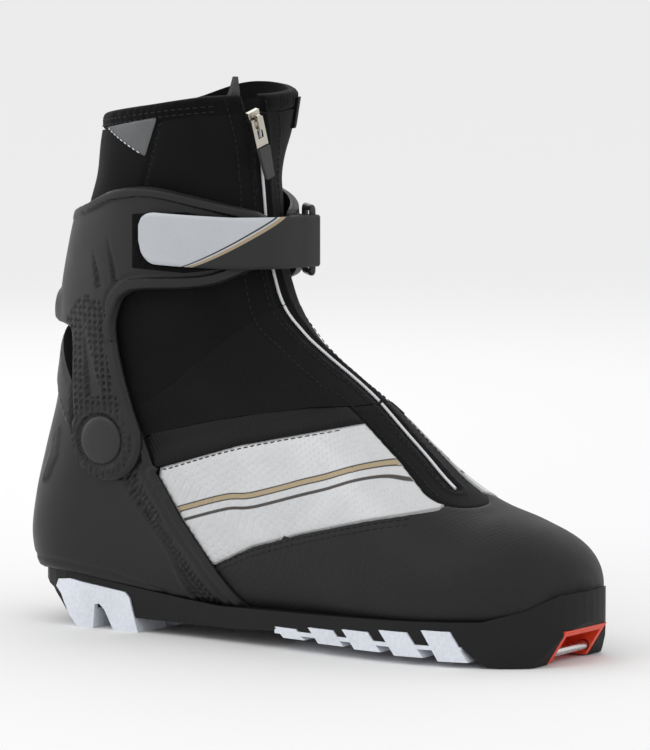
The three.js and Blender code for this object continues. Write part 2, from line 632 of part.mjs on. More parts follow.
function buildCollar() {
  const zone = aboveFlex.intersect(sidePrism(below(shifted(bindingLine, -half))));
  const collar = shell(-COLLAR_T, 0).intersect(zone).subtract(tapePrism(TAPE_HALF + GAP));
  for (const [side, name] of [[-1, 'collar_lateral'], [1, 'collar_medial']]) {
    const edge = [...zipFrontLine, [side * 200, zipFrontLine.at(-1)[1]],
      [side * 200, zipFrontLine[0][1]]];
    const rear = (side < 0 ? lateral : medial).intersect(block(-300, 20, -200, 200, -50, 400));
    add(name, collar.intersect(rear.add(frontPrism(edge, 20))), materials.knit);
  }
  const bindingZone = sidePrism(above(shifted(bindingLine, half))).intersect(belowRim);
  add('collar_binding', shell(-COLLAR_T, BINDING_T).intersect(bindingZone)
    .subtract(tapePrism(TAPE_HALF + GAP)), materials.felt);
  const tapeZone = aboveFlex.intersect(belowRim);
  const tape = shell(-SKIN_T, 0).intersect(tapeZone).intersect(tapePrism(TAPE_HALF));
  add('zip_tape_upper', tape, materials.knit);
  add('zip_teeth_upper', shell(GAP, 1).intersect(tapeZone)
    .intersect(sidePrism(below(shifted(rim, -3)))).intersect(tapePrism(TEETH_HALF)), materials.steel);

  const patch = sidePrism(sideLine([[-6, 224.5], [24, 228], [19, 213], [14, 213]]), -100, 0);
  add('reflective_patch', shell(GAP, 1).intersect(patch), materials.reflective);
  const webTab = frontPrism([[gy(15), gz(226)], [gy(24), gz(226)], [gy(24), gz(240)],
    [gy(15), gz(240)]], 20);
  const tabFace = BINDING_T + GAP;
  add('pull_tab_medial', shell(tabFace, tabFace + PULL_TAB_T).intersect(webTab), materials.felt);
  const leaf = frontPrism([[gy(-22.5), gz(222)], [gy(-18), gz(222)], [gy(-18), gz(240)],
    [gy(-19.5), gz(250)], [gy(-20.5), gz(250)], [gy(-22.5), gz(240)]], 20);
  const leafBody = shell(-COLLAR_T - GAP - PULL_TAB_T, -COLLAR_T - GAP).intersect(leaf);
  add('pull_tab_lateral', leafBody, materials.grey);
}

// ---------------------------------------------------------------- strap, ring and anchor
const strapZ = gz(STRAP_Z);
const degrees = THREE.MathUtils.degToRad;
const padOuter = cuffInner + CUFF_T + GAP + PAD_T;
const strapMiddle = padOuter + GAP + 0.2 + STRAP_T / 2;
const flat = (p) => [p.x, p.y];
const outerBar = girth(strapZ, degrees(9), 15.5);
const innerBar = girth(strapZ, degrees(27), 9);
const eyeOuter = RING_WIRE_R + EYE_RUN + EYE_T;

function eye(bar, z0, z1) {
  return barZ(eyeOuter, bar.x, bar.y, z0, z1, 20);
}

function ringBody() {
  const top = strapZ + RING_WINDOW / 2;
  const bottom = strapZ - RING_WINDOW / 2;
  const tall = RING_WIRE_R * 2;
  const rails = [[bottom - tall, bottom], [top, top + tall]];
  let ring = barZ(RING_WIRE_R, outerBar.x, outerBar.y, bottom - 1, top + 1);
  ring = ring.add(barZ(RING_WIRE_R, innerBar.x, innerBar.y, bottom - 1, top + 1));
  for (const [z0, z1] of rails) {
    ring = ring.add(topPrism(strip([flat(outerBar), flat(innerBar)], RING_WIRE_R), z0, z1));
    ring = ring.add(barZ(RING_WIRE_R, outerBar.x, outerBar.y, z0, z1));
    ring = ring.add(barZ(RING_WIRE_R, innerBar.x, innerBar.y, z0, z1));
  }
  return ring;
}

// Strap edge lines in the side view, with the rounded lateral end.
function strapOutline() {
  const z = (x) => strapZ + 2.6 * clamp((gx(62) - x) / gx(38), 0, 1.2);
  const upper = [gx(120), gx(62), gx(48), gx(36)].map((x) => [x, z(x) + STRAP_H / 2]);
  const lower = [gx(42), gx(50), gx(62), gx(120)].map((x) => [x, z(x) - STRAP_H / 2]);
  const endX = gx(23);
  const end = [[endX + 4, z(endX) + STRAP_H / 2], [endX, z(endX) + STRAP_H / 2 - 3],
    [endX, z(endX) + 2], [endX + 2.5, z(endX) - 5], [endX + 9, z(endX) - STRAP_H / 2 + 1.5]];
  return [...upper, ...end, ...lower];
}

function strapBody() {
  const path = [-100, -88, -74, -60, -46].map((turn) => flat(girth(strapZ, degrees(turn), strapMiddle)));
  const lean = girth(strapZ, degrees(-16), 13.5);
  path.push(flat(girth(strapZ, degrees(-32), strapMiddle + 1)), flat(lean), flat(outerBar));
  const line = rounded(path, 22);
  const z0 = strapZ - STRAP_H / 2;
  const z1 = strapZ + STRAP_H / 2;
  const wall = topPrism(strip(line, STRAP_T / 2), strapZ - 2 * STRAP_H, strapZ + 2 * STRAP_H);
  let strap = wall.intersect(sidePrism(strapOutline()));
  strap = strap.add(eye(outerBar, z0, z1));
  return strap.subtract(barZ(RING_WIRE_R + EYE_RUN, outerBar.x, outerBar.y, strapZ - 40, strapZ + 40));
}

function anchorBody() {
  const face = cuffInner + CUFF_T + GAP + 0.9;
  const path = [62, 54, 46, 39].map((turn) => flat(girth(strapZ, degrees(turn), face)));
  path.push(flat(girth(strapZ, degrees(32), face + 0.4)), flat(innerBar));
  const line = rounded(path, 12);
  const z0 = strapZ - STRAP_H / 2 + 1;
  const z1 = strapZ + STRAP_H / 2 - 1;
  let anchor = topPrism(strip(line, 0.8), z0, z1).add(eye(innerBar, z0, z1));
  anchor = anchor.subtract(last(cuffInner + CUFF_T + GAP));
  return anchor.subtract(barZ(RING_WIRE_R + EYE_RUN, innerBar.x, innerBar.y, strapZ - 40, strapZ + 40));
}

function buildStrap() {
  const padOutline = sideLine([[18, 165], [18, 189], [40, 190.5], [58, 185], [58, 166], [40, 163.5]]);
  const pad = shell(cuffInner + CUFF_T + GAP, padOuter).intersect(sidePrism(padOutline, -120, 0));
  add('hook_pad', pad, materials.felt);
  add('ring_anchor', anchorBody(), materials.felt);
  add('strap_ring', ringBody(), materials.plastic);
  add('strap', strapBody(), materials.silver);
}

// ---------------------------------------------------------------- zip slider and puller
// Both are built lying along X and then turned to lie on the zip's upper stretch.
const sliderTop = girth(gz(231), degrees(-23), 1 + GAP);
const sliderLow = girth(gz(205), degrees(-7), 1 + GAP + SLIDE_LIFT);

function onZip(body) {
  const down = sliderLow.clone().sub(sliderTop).normalize();
  const out = new THREE.Vector3(1, -0.35, 0);
  const across = new THREE.Vector3().crossVectors(out, down).normalize();
  out.crossVectors(down, across).normalize();
  const m = new THREE.Matrix4().makeBasis(down, across, out).setPosition(sliderTop);
  return body.transform(m.elements);
}

function buildZipSlider() {
  const base = topPrism([[-SLIDER_L / 2, -SLIDER_W / 2], [SLIDER_L / 2, -SLIDER_W / 2 + 1],
    [SLIDER_L / 2, SLIDER_W / 2 - 1], [-SLIDER_L / 2, SLIDER_W / 2]], 0, SLIDER_T);
  const bail = block(-3.5, 3.5, -1, 1, SLIDER_T - 0.2, SLIDER_T + 3.4)
    .subtract(block(-2.2, 2.2, -3, 3, SLIDER_T, SLIDER_T + 2.2));
  add('zip_slider', onZip(base.add(bail)), materials.nickel);
  const z0 = SLIDER_T + 0.45;
  const link = block(-1.6, PULLER_L, -PULLER_W / 2, PULLER_W / 2, z0, z0 + PULLER_T)
    .subtract(block(-0.3, PULLER_L - 4, -1.5, 1.5, z0 - 2, z0 + 4));
  add('zip_puller', onZip(link), materials.nickel);
  const tab = topPrism([[PULLER_L + GAP, -PULLER_W / 2 + 0.2], [PULLER_L + TAB_L, -2.2],
    [PULLER_L + TAB_L, 2.2], [PULLER_L + GAP, PULLER_W / 2 - 0.2]], z0, z0 + 2.2);
  add('puller_tab', onZip(tab), materials.grey);
}

buildSole();
buildUpper();
buildCuff();
buildCollar();
buildStrap();
buildZipSlider();

export default boot;
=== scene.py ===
import math

import bmesh
import bpy
import numpy as np
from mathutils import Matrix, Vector, noise


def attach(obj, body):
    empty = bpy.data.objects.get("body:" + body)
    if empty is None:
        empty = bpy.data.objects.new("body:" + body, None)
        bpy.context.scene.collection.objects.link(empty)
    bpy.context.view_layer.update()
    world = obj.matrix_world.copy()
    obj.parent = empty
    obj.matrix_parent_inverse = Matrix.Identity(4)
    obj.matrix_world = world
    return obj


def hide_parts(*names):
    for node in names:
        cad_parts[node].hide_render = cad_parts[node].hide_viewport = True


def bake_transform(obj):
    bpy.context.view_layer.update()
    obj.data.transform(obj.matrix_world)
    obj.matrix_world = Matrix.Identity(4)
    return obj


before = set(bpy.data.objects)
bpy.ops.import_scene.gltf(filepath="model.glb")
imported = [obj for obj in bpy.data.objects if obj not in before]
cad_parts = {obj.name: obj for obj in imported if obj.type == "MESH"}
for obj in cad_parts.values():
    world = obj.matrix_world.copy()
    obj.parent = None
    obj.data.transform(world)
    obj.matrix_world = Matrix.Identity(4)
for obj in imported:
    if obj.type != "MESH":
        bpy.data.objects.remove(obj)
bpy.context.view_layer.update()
MM = 0.001

# ------ the last
# Cross sections from the toe back and up: front x, z, back x, z, half width,
# place of the widest point, roundness at the front and back (mm, as the CAD).
SECTIONS = np.array([
    [224, 37, 224.5, 28, 6, .45, 2.2, 2.6], [222.3, 43, 223.3, 22.5, 15, .42, 2.2, 3],
    [217, 49.5, 219, 19, 25.5, .38, 2.2, 3.5], [207, 55.5, 209, 17.2, 34.5, .34, 2.2, 4.2],
    [193, 60.5, 194, 16.2, 41, .32, 2.2, 4.8], [176, 66, 177, 15.5, 45, .3, 2.1, 5.2],
    [157.5, 75.5, 158, 15, 46.5, .3, 2.0, 5.4], [138, 91, 138, 14.5, 45.8, .31, 1.95, 5.4],
    [119.5, 107.5, 117, 14, 43.5, .33, 1.9, 5.2], [104.5, 118.5, 92, 13.5, 41.5, .36, 1.9, 5.2],
    [93.5, 126.5, 64, 13.5, 39.5, .4, 1.9, 5.2], [85.5, 133, 34, 13.5, 38.5, .44, 1.95, 5],
    [80.5, 138.5, 4, 14, 38, .47, 2.0, 4.8], [76.5, 143.5, -24, 15, 38, .48, 2.0, 4.6],
    [73.5, 148.5, -45, 20, 38.2, .48, 2.0, 4], [71, 153.5, -54.5, 33, 38.6, .48, 2.0, 3.2],
    [69, 158.5, -54.5, 52, 39, .48, 2.0, 2.7], [67, 164.5, -50, 74, 39.2, .48, 2.0, 2.4],
    [65, 171.5, -44.5, 96, 39.2, .49, 2.0, 2.25], [63.3, 180.5, -40.5, 121, 39, .5, 2.05, 2.15],
    [62, 190, -38.5, 148, 38.6, .5, 2.05, 2.1], [61, 199, -33.5, 172, 38.2, .5, 2.1, 2.1],
    [60.8, 207, -27.5, 193, 38, .5, 2.1, 2.1], [62, 216, -23, 210, 38.5, .5, 2.1, 2.1],
    [65.5, 228, -20, 225, 39.5, .5, 2.1, 2.1], [68, 243, -18.5, 240, 40.5, .5, 2.1, 2.1],
    [69, 262, -18, 259, 41, .5, 2.1, 2.1]])
TOP = len(SECTIONS) - 1
TOE_SWING = 3
TOE_DOME = .6


def reach_along(path):
    """Distance walked along a line of points, 0 at its start."""
    return np.r_[0, np.cumsum(np.linalg.norm(np.diff(path, axis=0), axis=1))]


def at_reach(want, reach, path):
    """The points at given distances along a line."""
    return np.stack([np.interp(want, reach, path[:, k]) for k in range(path.shape[1])], -1)


def base_point(u, turn):
    """Points of the last in mm; u counts sections, turn is 0 at the front line, plus is medial.
    From u = -1 to 0 the toe is closed by a small dome."""
    dome = np.clip(1 + u, 0, 1)
    u = np.maximum(u, 0)
    i = np.clip(np.floor(u).astype(int), 0, TOP - 1)
    t = (u - i)[..., None]
    a, b, d, e = (SECTIONS[np.clip(i + k, 0, TOP)] for k in (-1, 0, 1, 2))
    row = b + 0.5 * t * (d - a + t * (2 * a - 5 * b + 4 * d - e + t * (3 * (b - d) + e - a)))
    fx, fz, bx, bz, width, widest, front, back = np.moveaxis(row, -1, 0)
    c, s = np.cos(turn), np.sin(turn)
    power = 2 / np.where(c >= 0, front, back)
    along = np.sign(c) * np.abs(c) ** power
    across = np.sign(s) * np.abs(s) ** power
    share = np.where(c >= 0, widest + (1 - widest) * along, widest + widest * along)
    swing = TOE_SWING * np.clip((fx + bx) / 150 - 2, 0, 1) ** 2
    share = .5 + (share - .5) * dome
    x = bx + (fx - bx) * share + TOE_DOME * np.sqrt(np.clip(1 - dome ** 2, 0, 1))
    return np.stack([x, swing + width * across * dome, bz + (fz - bz) * share], -1)


def base_normal(u, turn):
    along = base_point(np.minimum(u + .02, TOP), turn) - base_point(np.maximum(u - .02, -1), turn)
    around = base_point(u, turn + .02) - base_point(u, turn - .02)
    n = np.cross(around, along)
    size = np.linalg.norm(n, axis=-1, keepdims=True)
    return np.where(size > 1e-7, n / size.clip(1e-9), np.array([1.0, 0, 0]))


def on_last(u, turn, offset=0.0):
    offset = np.asarray(offset, float)
    if offset.ndim:
        offset = offset[..., None]
    return base_point(u, turn) + base_normal(u, turn) * offset


def turn_shares():
    """Turns and how far round the boot each lies, so that rows of points come out even."""
    turn = np.linspace(-np.pi, np.pi, 4001)
    share = (turn + np.pi) / (2 * np.pi)
    for u in (5.0, 9.0, 12.0):
        line = base_point(np.full(turn.shape, u), turn)
        reach = reach_along(line)
        share = share + reach / reach[-1]
    return turn, share / share[-1]


TURNS, SHARES = turn_shares()


def even_turns(low, high, count):
    ends = np.interp([low, high], TURNS, SHARES)
    return np.interp(np.linspace(*ends, count), SHARES, TURNS)


GRID_U, GRID_T = np.meshgrid(np.linspace(0, TOP, 521), even_turns(-np.pi, np.pi, 401),
                             indexing="ij")
GRID_P = base_point(GRID_U, GRID_T)


def locate(targets, axes, keep):
    """(u, turn) of the surface points whose coordinates on two axes are the targets."""
    found = []
    mask = keep(GRID_P, GRID_T)
    gu, gt, gp = GRID_U[mask], GRID_T[mask], GRID_P[mask][:, axes]
    for target in np.atleast_2d(np.asarray(targets, float)):
        k = np.argmin(((gp - target) ** 2).sum(1))
        near = u, t = gu[k], gt[k]
        for _ in range(6):
            at = lambda a, b: base_point(np.array([a]), np.array([b]))[0][list(axes)]
            here = at(u, t)
            jac = np.stack([(at(min(u + .01, TOP), t) - here) / .01, (at(u, t + .01) - here) / .01], 1)
            if abs(np.linalg.det(jac)) < 1:
                break
            step = np.clip(np.linalg.solve(jac, target - here), -.3, .3)
            u, t = float(np.clip(u + step[0], 0, TOP)), t + step[1]
        if np.linalg.norm(at(u, t) - target) > np.linalg.norm(gp[k] - target):
            u, t = near
        found.append((u, t))
    return np.array(found)


SIDE_TURNS = (.12, 3.02)
FRONT_TURN = 1.3
LATERAL = lambda p, t: (t < -SIDE_TURNS[0]) & (t > -SIDE_TURNS[1])
MEDIAL = lambda p, t: (t > SIDE_TURNS[0]) & (t < SIDE_TURNS[1])
FRONT = lambda p, t: np.abs(t) < FRONT_TURN


def spline(points, count):
    """A smooth open line through points, evenly spaced."""
    p = np.asarray(points, float)
    rows = np.vstack([2 * p[0] - p[1], p, 2 * p[-1] - p[-2]])
    out = []
    for i in range(len(p) - 1):
        a, b, c, d = rows[i:i + 4]
        t = np.linspace(0, 1, 24, endpoint=False)[:, None]
        out.append(.5 * (2 * b + t * (c - a) + t * t * (2 * a - 5 * b + 4 * c - d)
                         + t ** 3 * (3 * b - a - 3 * c + d)))
    out = np.vstack(out + [p[-1:]])
    reach = reach_along(out)
    return at_reach(np.linspace(0, reach[-1], count), reach, out)


# ------ pattern lines, side view x, z
LOWER_FLEX = [[-90, 116], [-36, 112], [-20, 92], [-12, 79], [6, 79], [22, 90.5],
              [60, 99.5], [100, 105.5], [150, 108]]
UPPER_FLEX = [[-90, 134], [-38, 130], [-12, 100], [12, 99], [32, 113], [75, 150], [110, 178]]
RIM = [[-60, 230], [-10, 233], [25, 237.5], [50, 241], [90, 243]]
QUARTER_TOP = [[26, 75], [70, 88], [121, 98.7], [150, 103]]
QUARTER_BOTTOM = [[58, 34], [80, 44], [106.6, 51.6], [140, 59.5], [167, 64.5]]
COUNTER_EDGE = [[80, 8], [76, 15], [58, 34], [41, 53.4], [26, 75]]
COUNTER_TOP = [[19, 91], [10, 101], [-6, 103], [-16, 99], [-25, 104], [-36, 120], [-80, 122]]
CUFF_TOP = [[-60, 181], [-30, 186], [-9, 192], [8, 199.3], [27, 201.2], [48, 195.7],
            [59.4, 190], [62, 185.8]]
CUFF_LOW = [[62.2, 165.5], [60, 162.5], [48, 157.2], [22, 155.3], [14.4, 152.8],
            [10.6, 148], [8.2, 137], [11.5, 118.3], [16.3, 101.4]]
CUFF_REAR = [[-14.9, 98.7], [-16.5, 116.6], [-17.5, 131], [-24, 137], [-60, 136]]
SOLE_LINE = [[-75, 24], [-50, 24.4], [-38, 25.6], [-25, 24.8], [7, 21], [40, 17.5], [60, 16],
             [105, 17], [157, 18.5], [198, 20], [214, 25], [224, 31], [240, 33]]
ZIP_FRONT = [[-19, 250], [-16, 238], [-10, 224], [-4.5, 209], [-4, 190], [-5, 160], [-5, 145]]
ZIP_TOP = [[86, -3], [104, 0], [128, 0], [147, -1.2], [163.5, -5.5]]
PIVOT = np.array([0.0, 87.0])
ARM_X = 3
ARM_R = 18
ARM_TURN = (15, -195)
arc = [[ARM_X + ARM_R * math.cos(math.radians(a)), PIVOT[1] + ARM_R * math.sin(math.radians(a))]
       for a in np.linspace(*ARM_TURN, 22)]

# Two points for each blended body, in metres: where cloth would stop following the boot and where it would
# follow the cuff. finish reads them but applies no blend.
BLENDS = {"flex": ((0, 0, .0875), (-.00779, 0, .12644)), "spine": ((0, 0, .0765), (.0055, 0, .082))}


def line_distance(q, line):
    """Unsigned distance of points q (n, 2) to a polyline."""
    a = np.asarray(line, float)
    best = np.full(len(q), 1e9)
    for p0, p1 in zip(a[:-1], a[1:]):
        d = p1 - p0
        t = np.clip(((q - p0) @ d) / (d @ d), 0, 1)
        best = np.minimum(best, np.linalg.norm(q - p0 - t[:, None] * d, axis=1))
    return best


def inside_outline(q, outline):
    """Signed distance to a closed outline, positive inside."""
    a = np.asarray(outline, float)
    gap = line_distance(q, np.vstack([a, a[:1]]))
    odd = np.zeros(len(q), bool)
    for p0, p1 in zip(a, np.roll(a, -1, 0)):
        cross = (p0[1] > q[:, 1]) != (p1[1] > q[:, 1])
        x = p0[0] + (q[:, 1] - p0[1]) * (p1[0] - p0[0]) / (p1[1] - p0[1] + 1e-12)
        odd ^= cross & (q[:, 0] < x)
    return np.where(odd, gap, -gap)


def over(q, line):
    """Height-like signed distance above a line that runs from rear to front."""
    a = np.asarray(line, float)
    gap = line_distance(q, a)
    z = np.interp(q[:, 0], a[:, 0], a[:, 1])
    return np.where(q[:, 1] > z, gap, -gap)


CUFF_TOP_LINE = spline(CUFF_TOP, 60)
CUFF_LOW_LINE = spline(CUFF_LOW, 80)
CUFF_OUTLINE = np.vstack([CUFF_TOP_LINE, CUFF_LOW_LINE, arc, spline(CUFF_REAR, 30)])
side = lambda p: p[:, [0, 2]]
smooth = lambda x: np.clip(x, 0, 1) ** 2 * (3 - 2 * np.clip(x, 0, 1))


def bump(x, half):
    """1 at 0, rounded to 0 at half."""
    return np.sqrt(np.clip(1 - (x / half) ** 2, 0, 1))


def roll(f, width):
    """0 at a panel's edge, rounded up to 1 at width."""
    return bump(1 - np.clip(f / width, 0, 1), 1)


def wrinkle(p, size, amount, seed=0):
    """A soft uneven surface, in mm."""
    at = p / size + [seed, 0, 0]
    return np.array([noise.noise(Vector(v)) for v in at]) * amount


def bridge(rows, sides, first=0, closed=False):
    """Quads between rings of points, sides to a ring."""
    faces = []
    for k in range(rows if closed else rows - 1):
        here, ahead = first + k * sides, first + (k + 1) % rows * sides
        for s in range(sides):
            after = (s + 1) % sides
            faces.append((here + s, here + after, ahead + after, ahead + s))
    return faces


# ------ building meshes
def place(name, data):
    obj = bpy.data.objects.new(name, data)
    bpy.context.scene.collection.objects.link(obj)
    return obj


def make(name, points, faces, attributes=None, sharp=40):
    mesh = bpy.data.meshes.new(name)
    mesh.from_pydata([tuple(p) for p in np.asarray(points) * MM], [], [tuple(f) for f in faces])
    mesh.update()
    mesh.polygons.foreach_set("use_smooth", [True] * len(mesh.polygons))
    for key, values in (attributes or {}).items():
        values = np.asarray(values, np.float32)
        kind = "FLOAT_VECTOR" if values.ndim == 2 else "FLOAT"
        layer = mesh.attributes.new(key, kind, "POINT")
        layer.data.foreach_set("vector" if values.ndim == 2 else "value", values.ravel())
    mesh.set_sharp_from_angle(angle=math.radians(sharp))
    return place(name, mesh)


def finish(obj, body, slot, material, *nodes):
    """Gives a piece its material and hides the CAD nodes it stands for; attaches it to its body, or for a
    blended body only bakes its transform. slot is not used.
    """
    obj.data.materials.clear()
    obj.data.materials.append(material)
    if body in BLENDS:
        start, end = BLENDS[body]
        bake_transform(obj)
        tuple(start)
        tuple(end)
    else:
        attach(obj, body)
    if nodes:
        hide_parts(*nodes)
    return obj


MEAN_GIRTH = 256


def patch(name, field, outer, inner, pitch=1.6, us=(0, TOP), turns=(-np.pi, np.pi), extra=None):
    """A closed panel of the last's surface where field(points) is positive.
    outer, a function of (points, field, turn), and inner, a number, are offsets in mm."""
    spread = np.linspace(us[0], us[1], 400)
    reach = np.linalg.norm(np.diff(base_point(spread, np.full(400, -1.5)), axis=0), axis=1)
    reach += np.linalg.norm(np.diff(base_point(spread, np.full(400, 0.0)), axis=0), axis=1)
    walk = np.r_[0, np.cumsum(reach / 2)]
    rows = max(4, int(walk[-1] / pitch))
    line = np.interp(np.linspace(0, walk[-1], rows + 1), walk, spread)
    full = turns[1] - turns[0] > 6.28
    cols = max(4, int(MEAN_GIRTH * (turns[1] - turns[0]) / (2 * np.pi) / pitch))
    u, t = np.meshgrid(line, even_turns(*turns, cols + 1), indexing="ij")
    if full:
        u, t = u[:, :-1], t[:, :-1]
    nu, nt = u.shape
    shape_u, shape_t = u.ravel(), t.ravel()
    f = field(base_point(shape_u, shape_t), shape_t)
    wrap = nt if full else nt - 1
    i, j = np.meshgrid(np.arange(nu - 1), np.arange(wrap), indexing="ij")
    a = (i * nt + j).ravel()
    b = (i * nt + (j + 1) % nt).ravel()
    quads = np.stack([a, b, b + nt, a + nt], 1)
    count = (f[quads] >= 0).sum(1)
    faces = [tuple(q) for q in quads[count == 4]]
    points_u, points_t = list(shape_u), list(shape_t)
    cut = {}

    def crossing(p, q):
        key = (min(p, q), max(p, q))
        if key not in cut:
            low, high = key
            share = f[low] / (f[low] - f[high])
            dt = shape_t[high] - shape_t[low]
            if full and abs(dt) > np.pi:
                dt -= math.copysign(2 * np.pi, dt)
            cut[key] = len(points_u)
            points_u.append(shape_u[low] + share * (shape_u[high] - shape_u[low]))
            points_t.append(shape_t[low] + share * dt)
        return cut[key]

    for quad in quads[(count > 0) & (count < 4)]:
        ring = []
        for p, q in zip(quad, np.roll(quad, -1)):
            if f[p] >= 0:
                ring.append(p)
            if (f[p] >= 0) != (f[q] >= 0):
                ring.append(crossing(p, q))
        if len(ring) > 2:
            faces.append(tuple(ring))
    used = np.unique(np.concatenate([np.array(fc) for fc in faces]))
    renumber = {int(k): n for n, k in enumerate(used)}
    faces = [tuple(renumber[int(k)] for k in fc) for fc in faces]
    uu, tt = np.array(points_u)[used], np.array(points_t)[used]
    base = base_point(uu, tt)
    value = field(base, tt)
    normal = base_normal(uu, tt)
    out = outer(base, value, tt)
    n = len(uu)
    points = np.vstack([base + normal * out[:, None], base + normal * inner])
    edges = {}
    for fc in faces:
        for p, q in zip(fc, fc[1:] + fc[:1]):
            if (q, p) in edges:
                del edges[(q, p)]
            else:
                edges[(p, q)] = True
    rim = [(q, p, p + n, q + n) for p, q in edges]
    back = [tuple(k + n for k in reversed(fc)) for fc in faces]
    around = np.interp(uu, GRID_U[:, 0], np.linalg.norm(np.diff(GRID_P, axis=1), axis=2).sum(1))
    height = np.interp(uu, spread, walk)
    mm = np.stack([tt / (2 * np.pi) * MEAN_GIRTH, height, around], 1)
    data = {"mm": np.vstack([mm, mm]), "edge": np.r_[value, value]}
    for key, make_value in (extra or {}).items():
        layer = make_value(base, tt)
        data[key] = np.concatenate([layer, layer])
    return make(name, points, faces + back + rim, data)


def pillow(height, width, base=0.0, seed=0, rough=.25, size=26.0):
    """An outer offset that rolls down at the panel's edge and is a little uneven."""
    def offset(p, f, t):
        return base + height * roll(f, width) + wrinkle(p, size, rough, seed) * smooth(f / 8)
    return offset


def tube(name, path, radius, sides=12, closed=False):
    """A round bar along a line of points; radius may change along it."""
    p = np.asarray(path, float)
    n = len(p)
    radii = np.broadcast_to(np.asarray(radius, float), (n,))
    ahead = (np.roll(p, -1, 0) - np.roll(p, 1, 0)) if closed else np.gradient(p, axis=0)
    ahead /= np.linalg.norm(ahead, axis=1, keepdims=True)
    ref = np.array([0, 0, 1.0]) if abs(ahead[0][2]) < .9 else np.array([1.0, 0, 0])
    points = []
    for k in range(n):
        ref = ref - ahead[k] * (ref @ ahead[k])
        ref /= np.linalg.norm(ref)
        other = np.cross(ahead[k], ref)
        for s in range(sides):
            a = 2 * np.pi * s / sides
            points.append(p[k] + radii[k] * (math.cos(a) * ref + math.sin(a) * other))
    faces = bridge(n, sides, closed=closed)
    if not closed:
        faces += [tuple(reversed(range(sides))), tuple(range((n - 1) * sides, n * sides))]
    return make(name, points, faces)


def seam(name, where, offset, length=2.3, gap=1.1, radius=.38, tilt=0.0):
    """Stitches, each a small rounded thread, along a line of (u, turn) on the surface."""
    path = on_last(where[:, 0], where[:, 1], offset)
    normal = base_normal(where[:, 0], where[:, 1])
    reach = reach_along(path)
    points, faces = [], []
    sides = 6
    profile = [(-.5, .35), (-.36, .85), (0, 1.0), (.36, .85), (.5, .35)]
    for n, start in enumerate(np.arange(0, reach[-1] - length, length + gap)):
        ends = at_reach([start, start + length], reach, path)
        up = at_reach(start, reach, normal)
        d = ends[1] - ends[0]
        d /= np.linalg.norm(d)
        across = np.cross(up, d)
        if tilt:
            d = d * math.cos(tilt) + across * math.sin(tilt) * (1 if n % 2 else -1)
            across = np.cross(up, d)
        middle = (ends[0] + ends[1]) / 2
        first = len(points)
        for at, fat in profile:
            for s in range(sides):
                a = 2 * np.pi * s / sides
                points.append(middle + d * at * length
                              + radius * fat * (across * math.cos(a) + up * math.sin(a) * .8))
        faces += bridge(len(profile), sides, first)
        faces.append(tuple(first + s for s in reversed(range(sides))))
        faces.append(tuple(first + (len(profile) - 1) * sides + s for s in range(sides)))
    return make(name, points, faces)


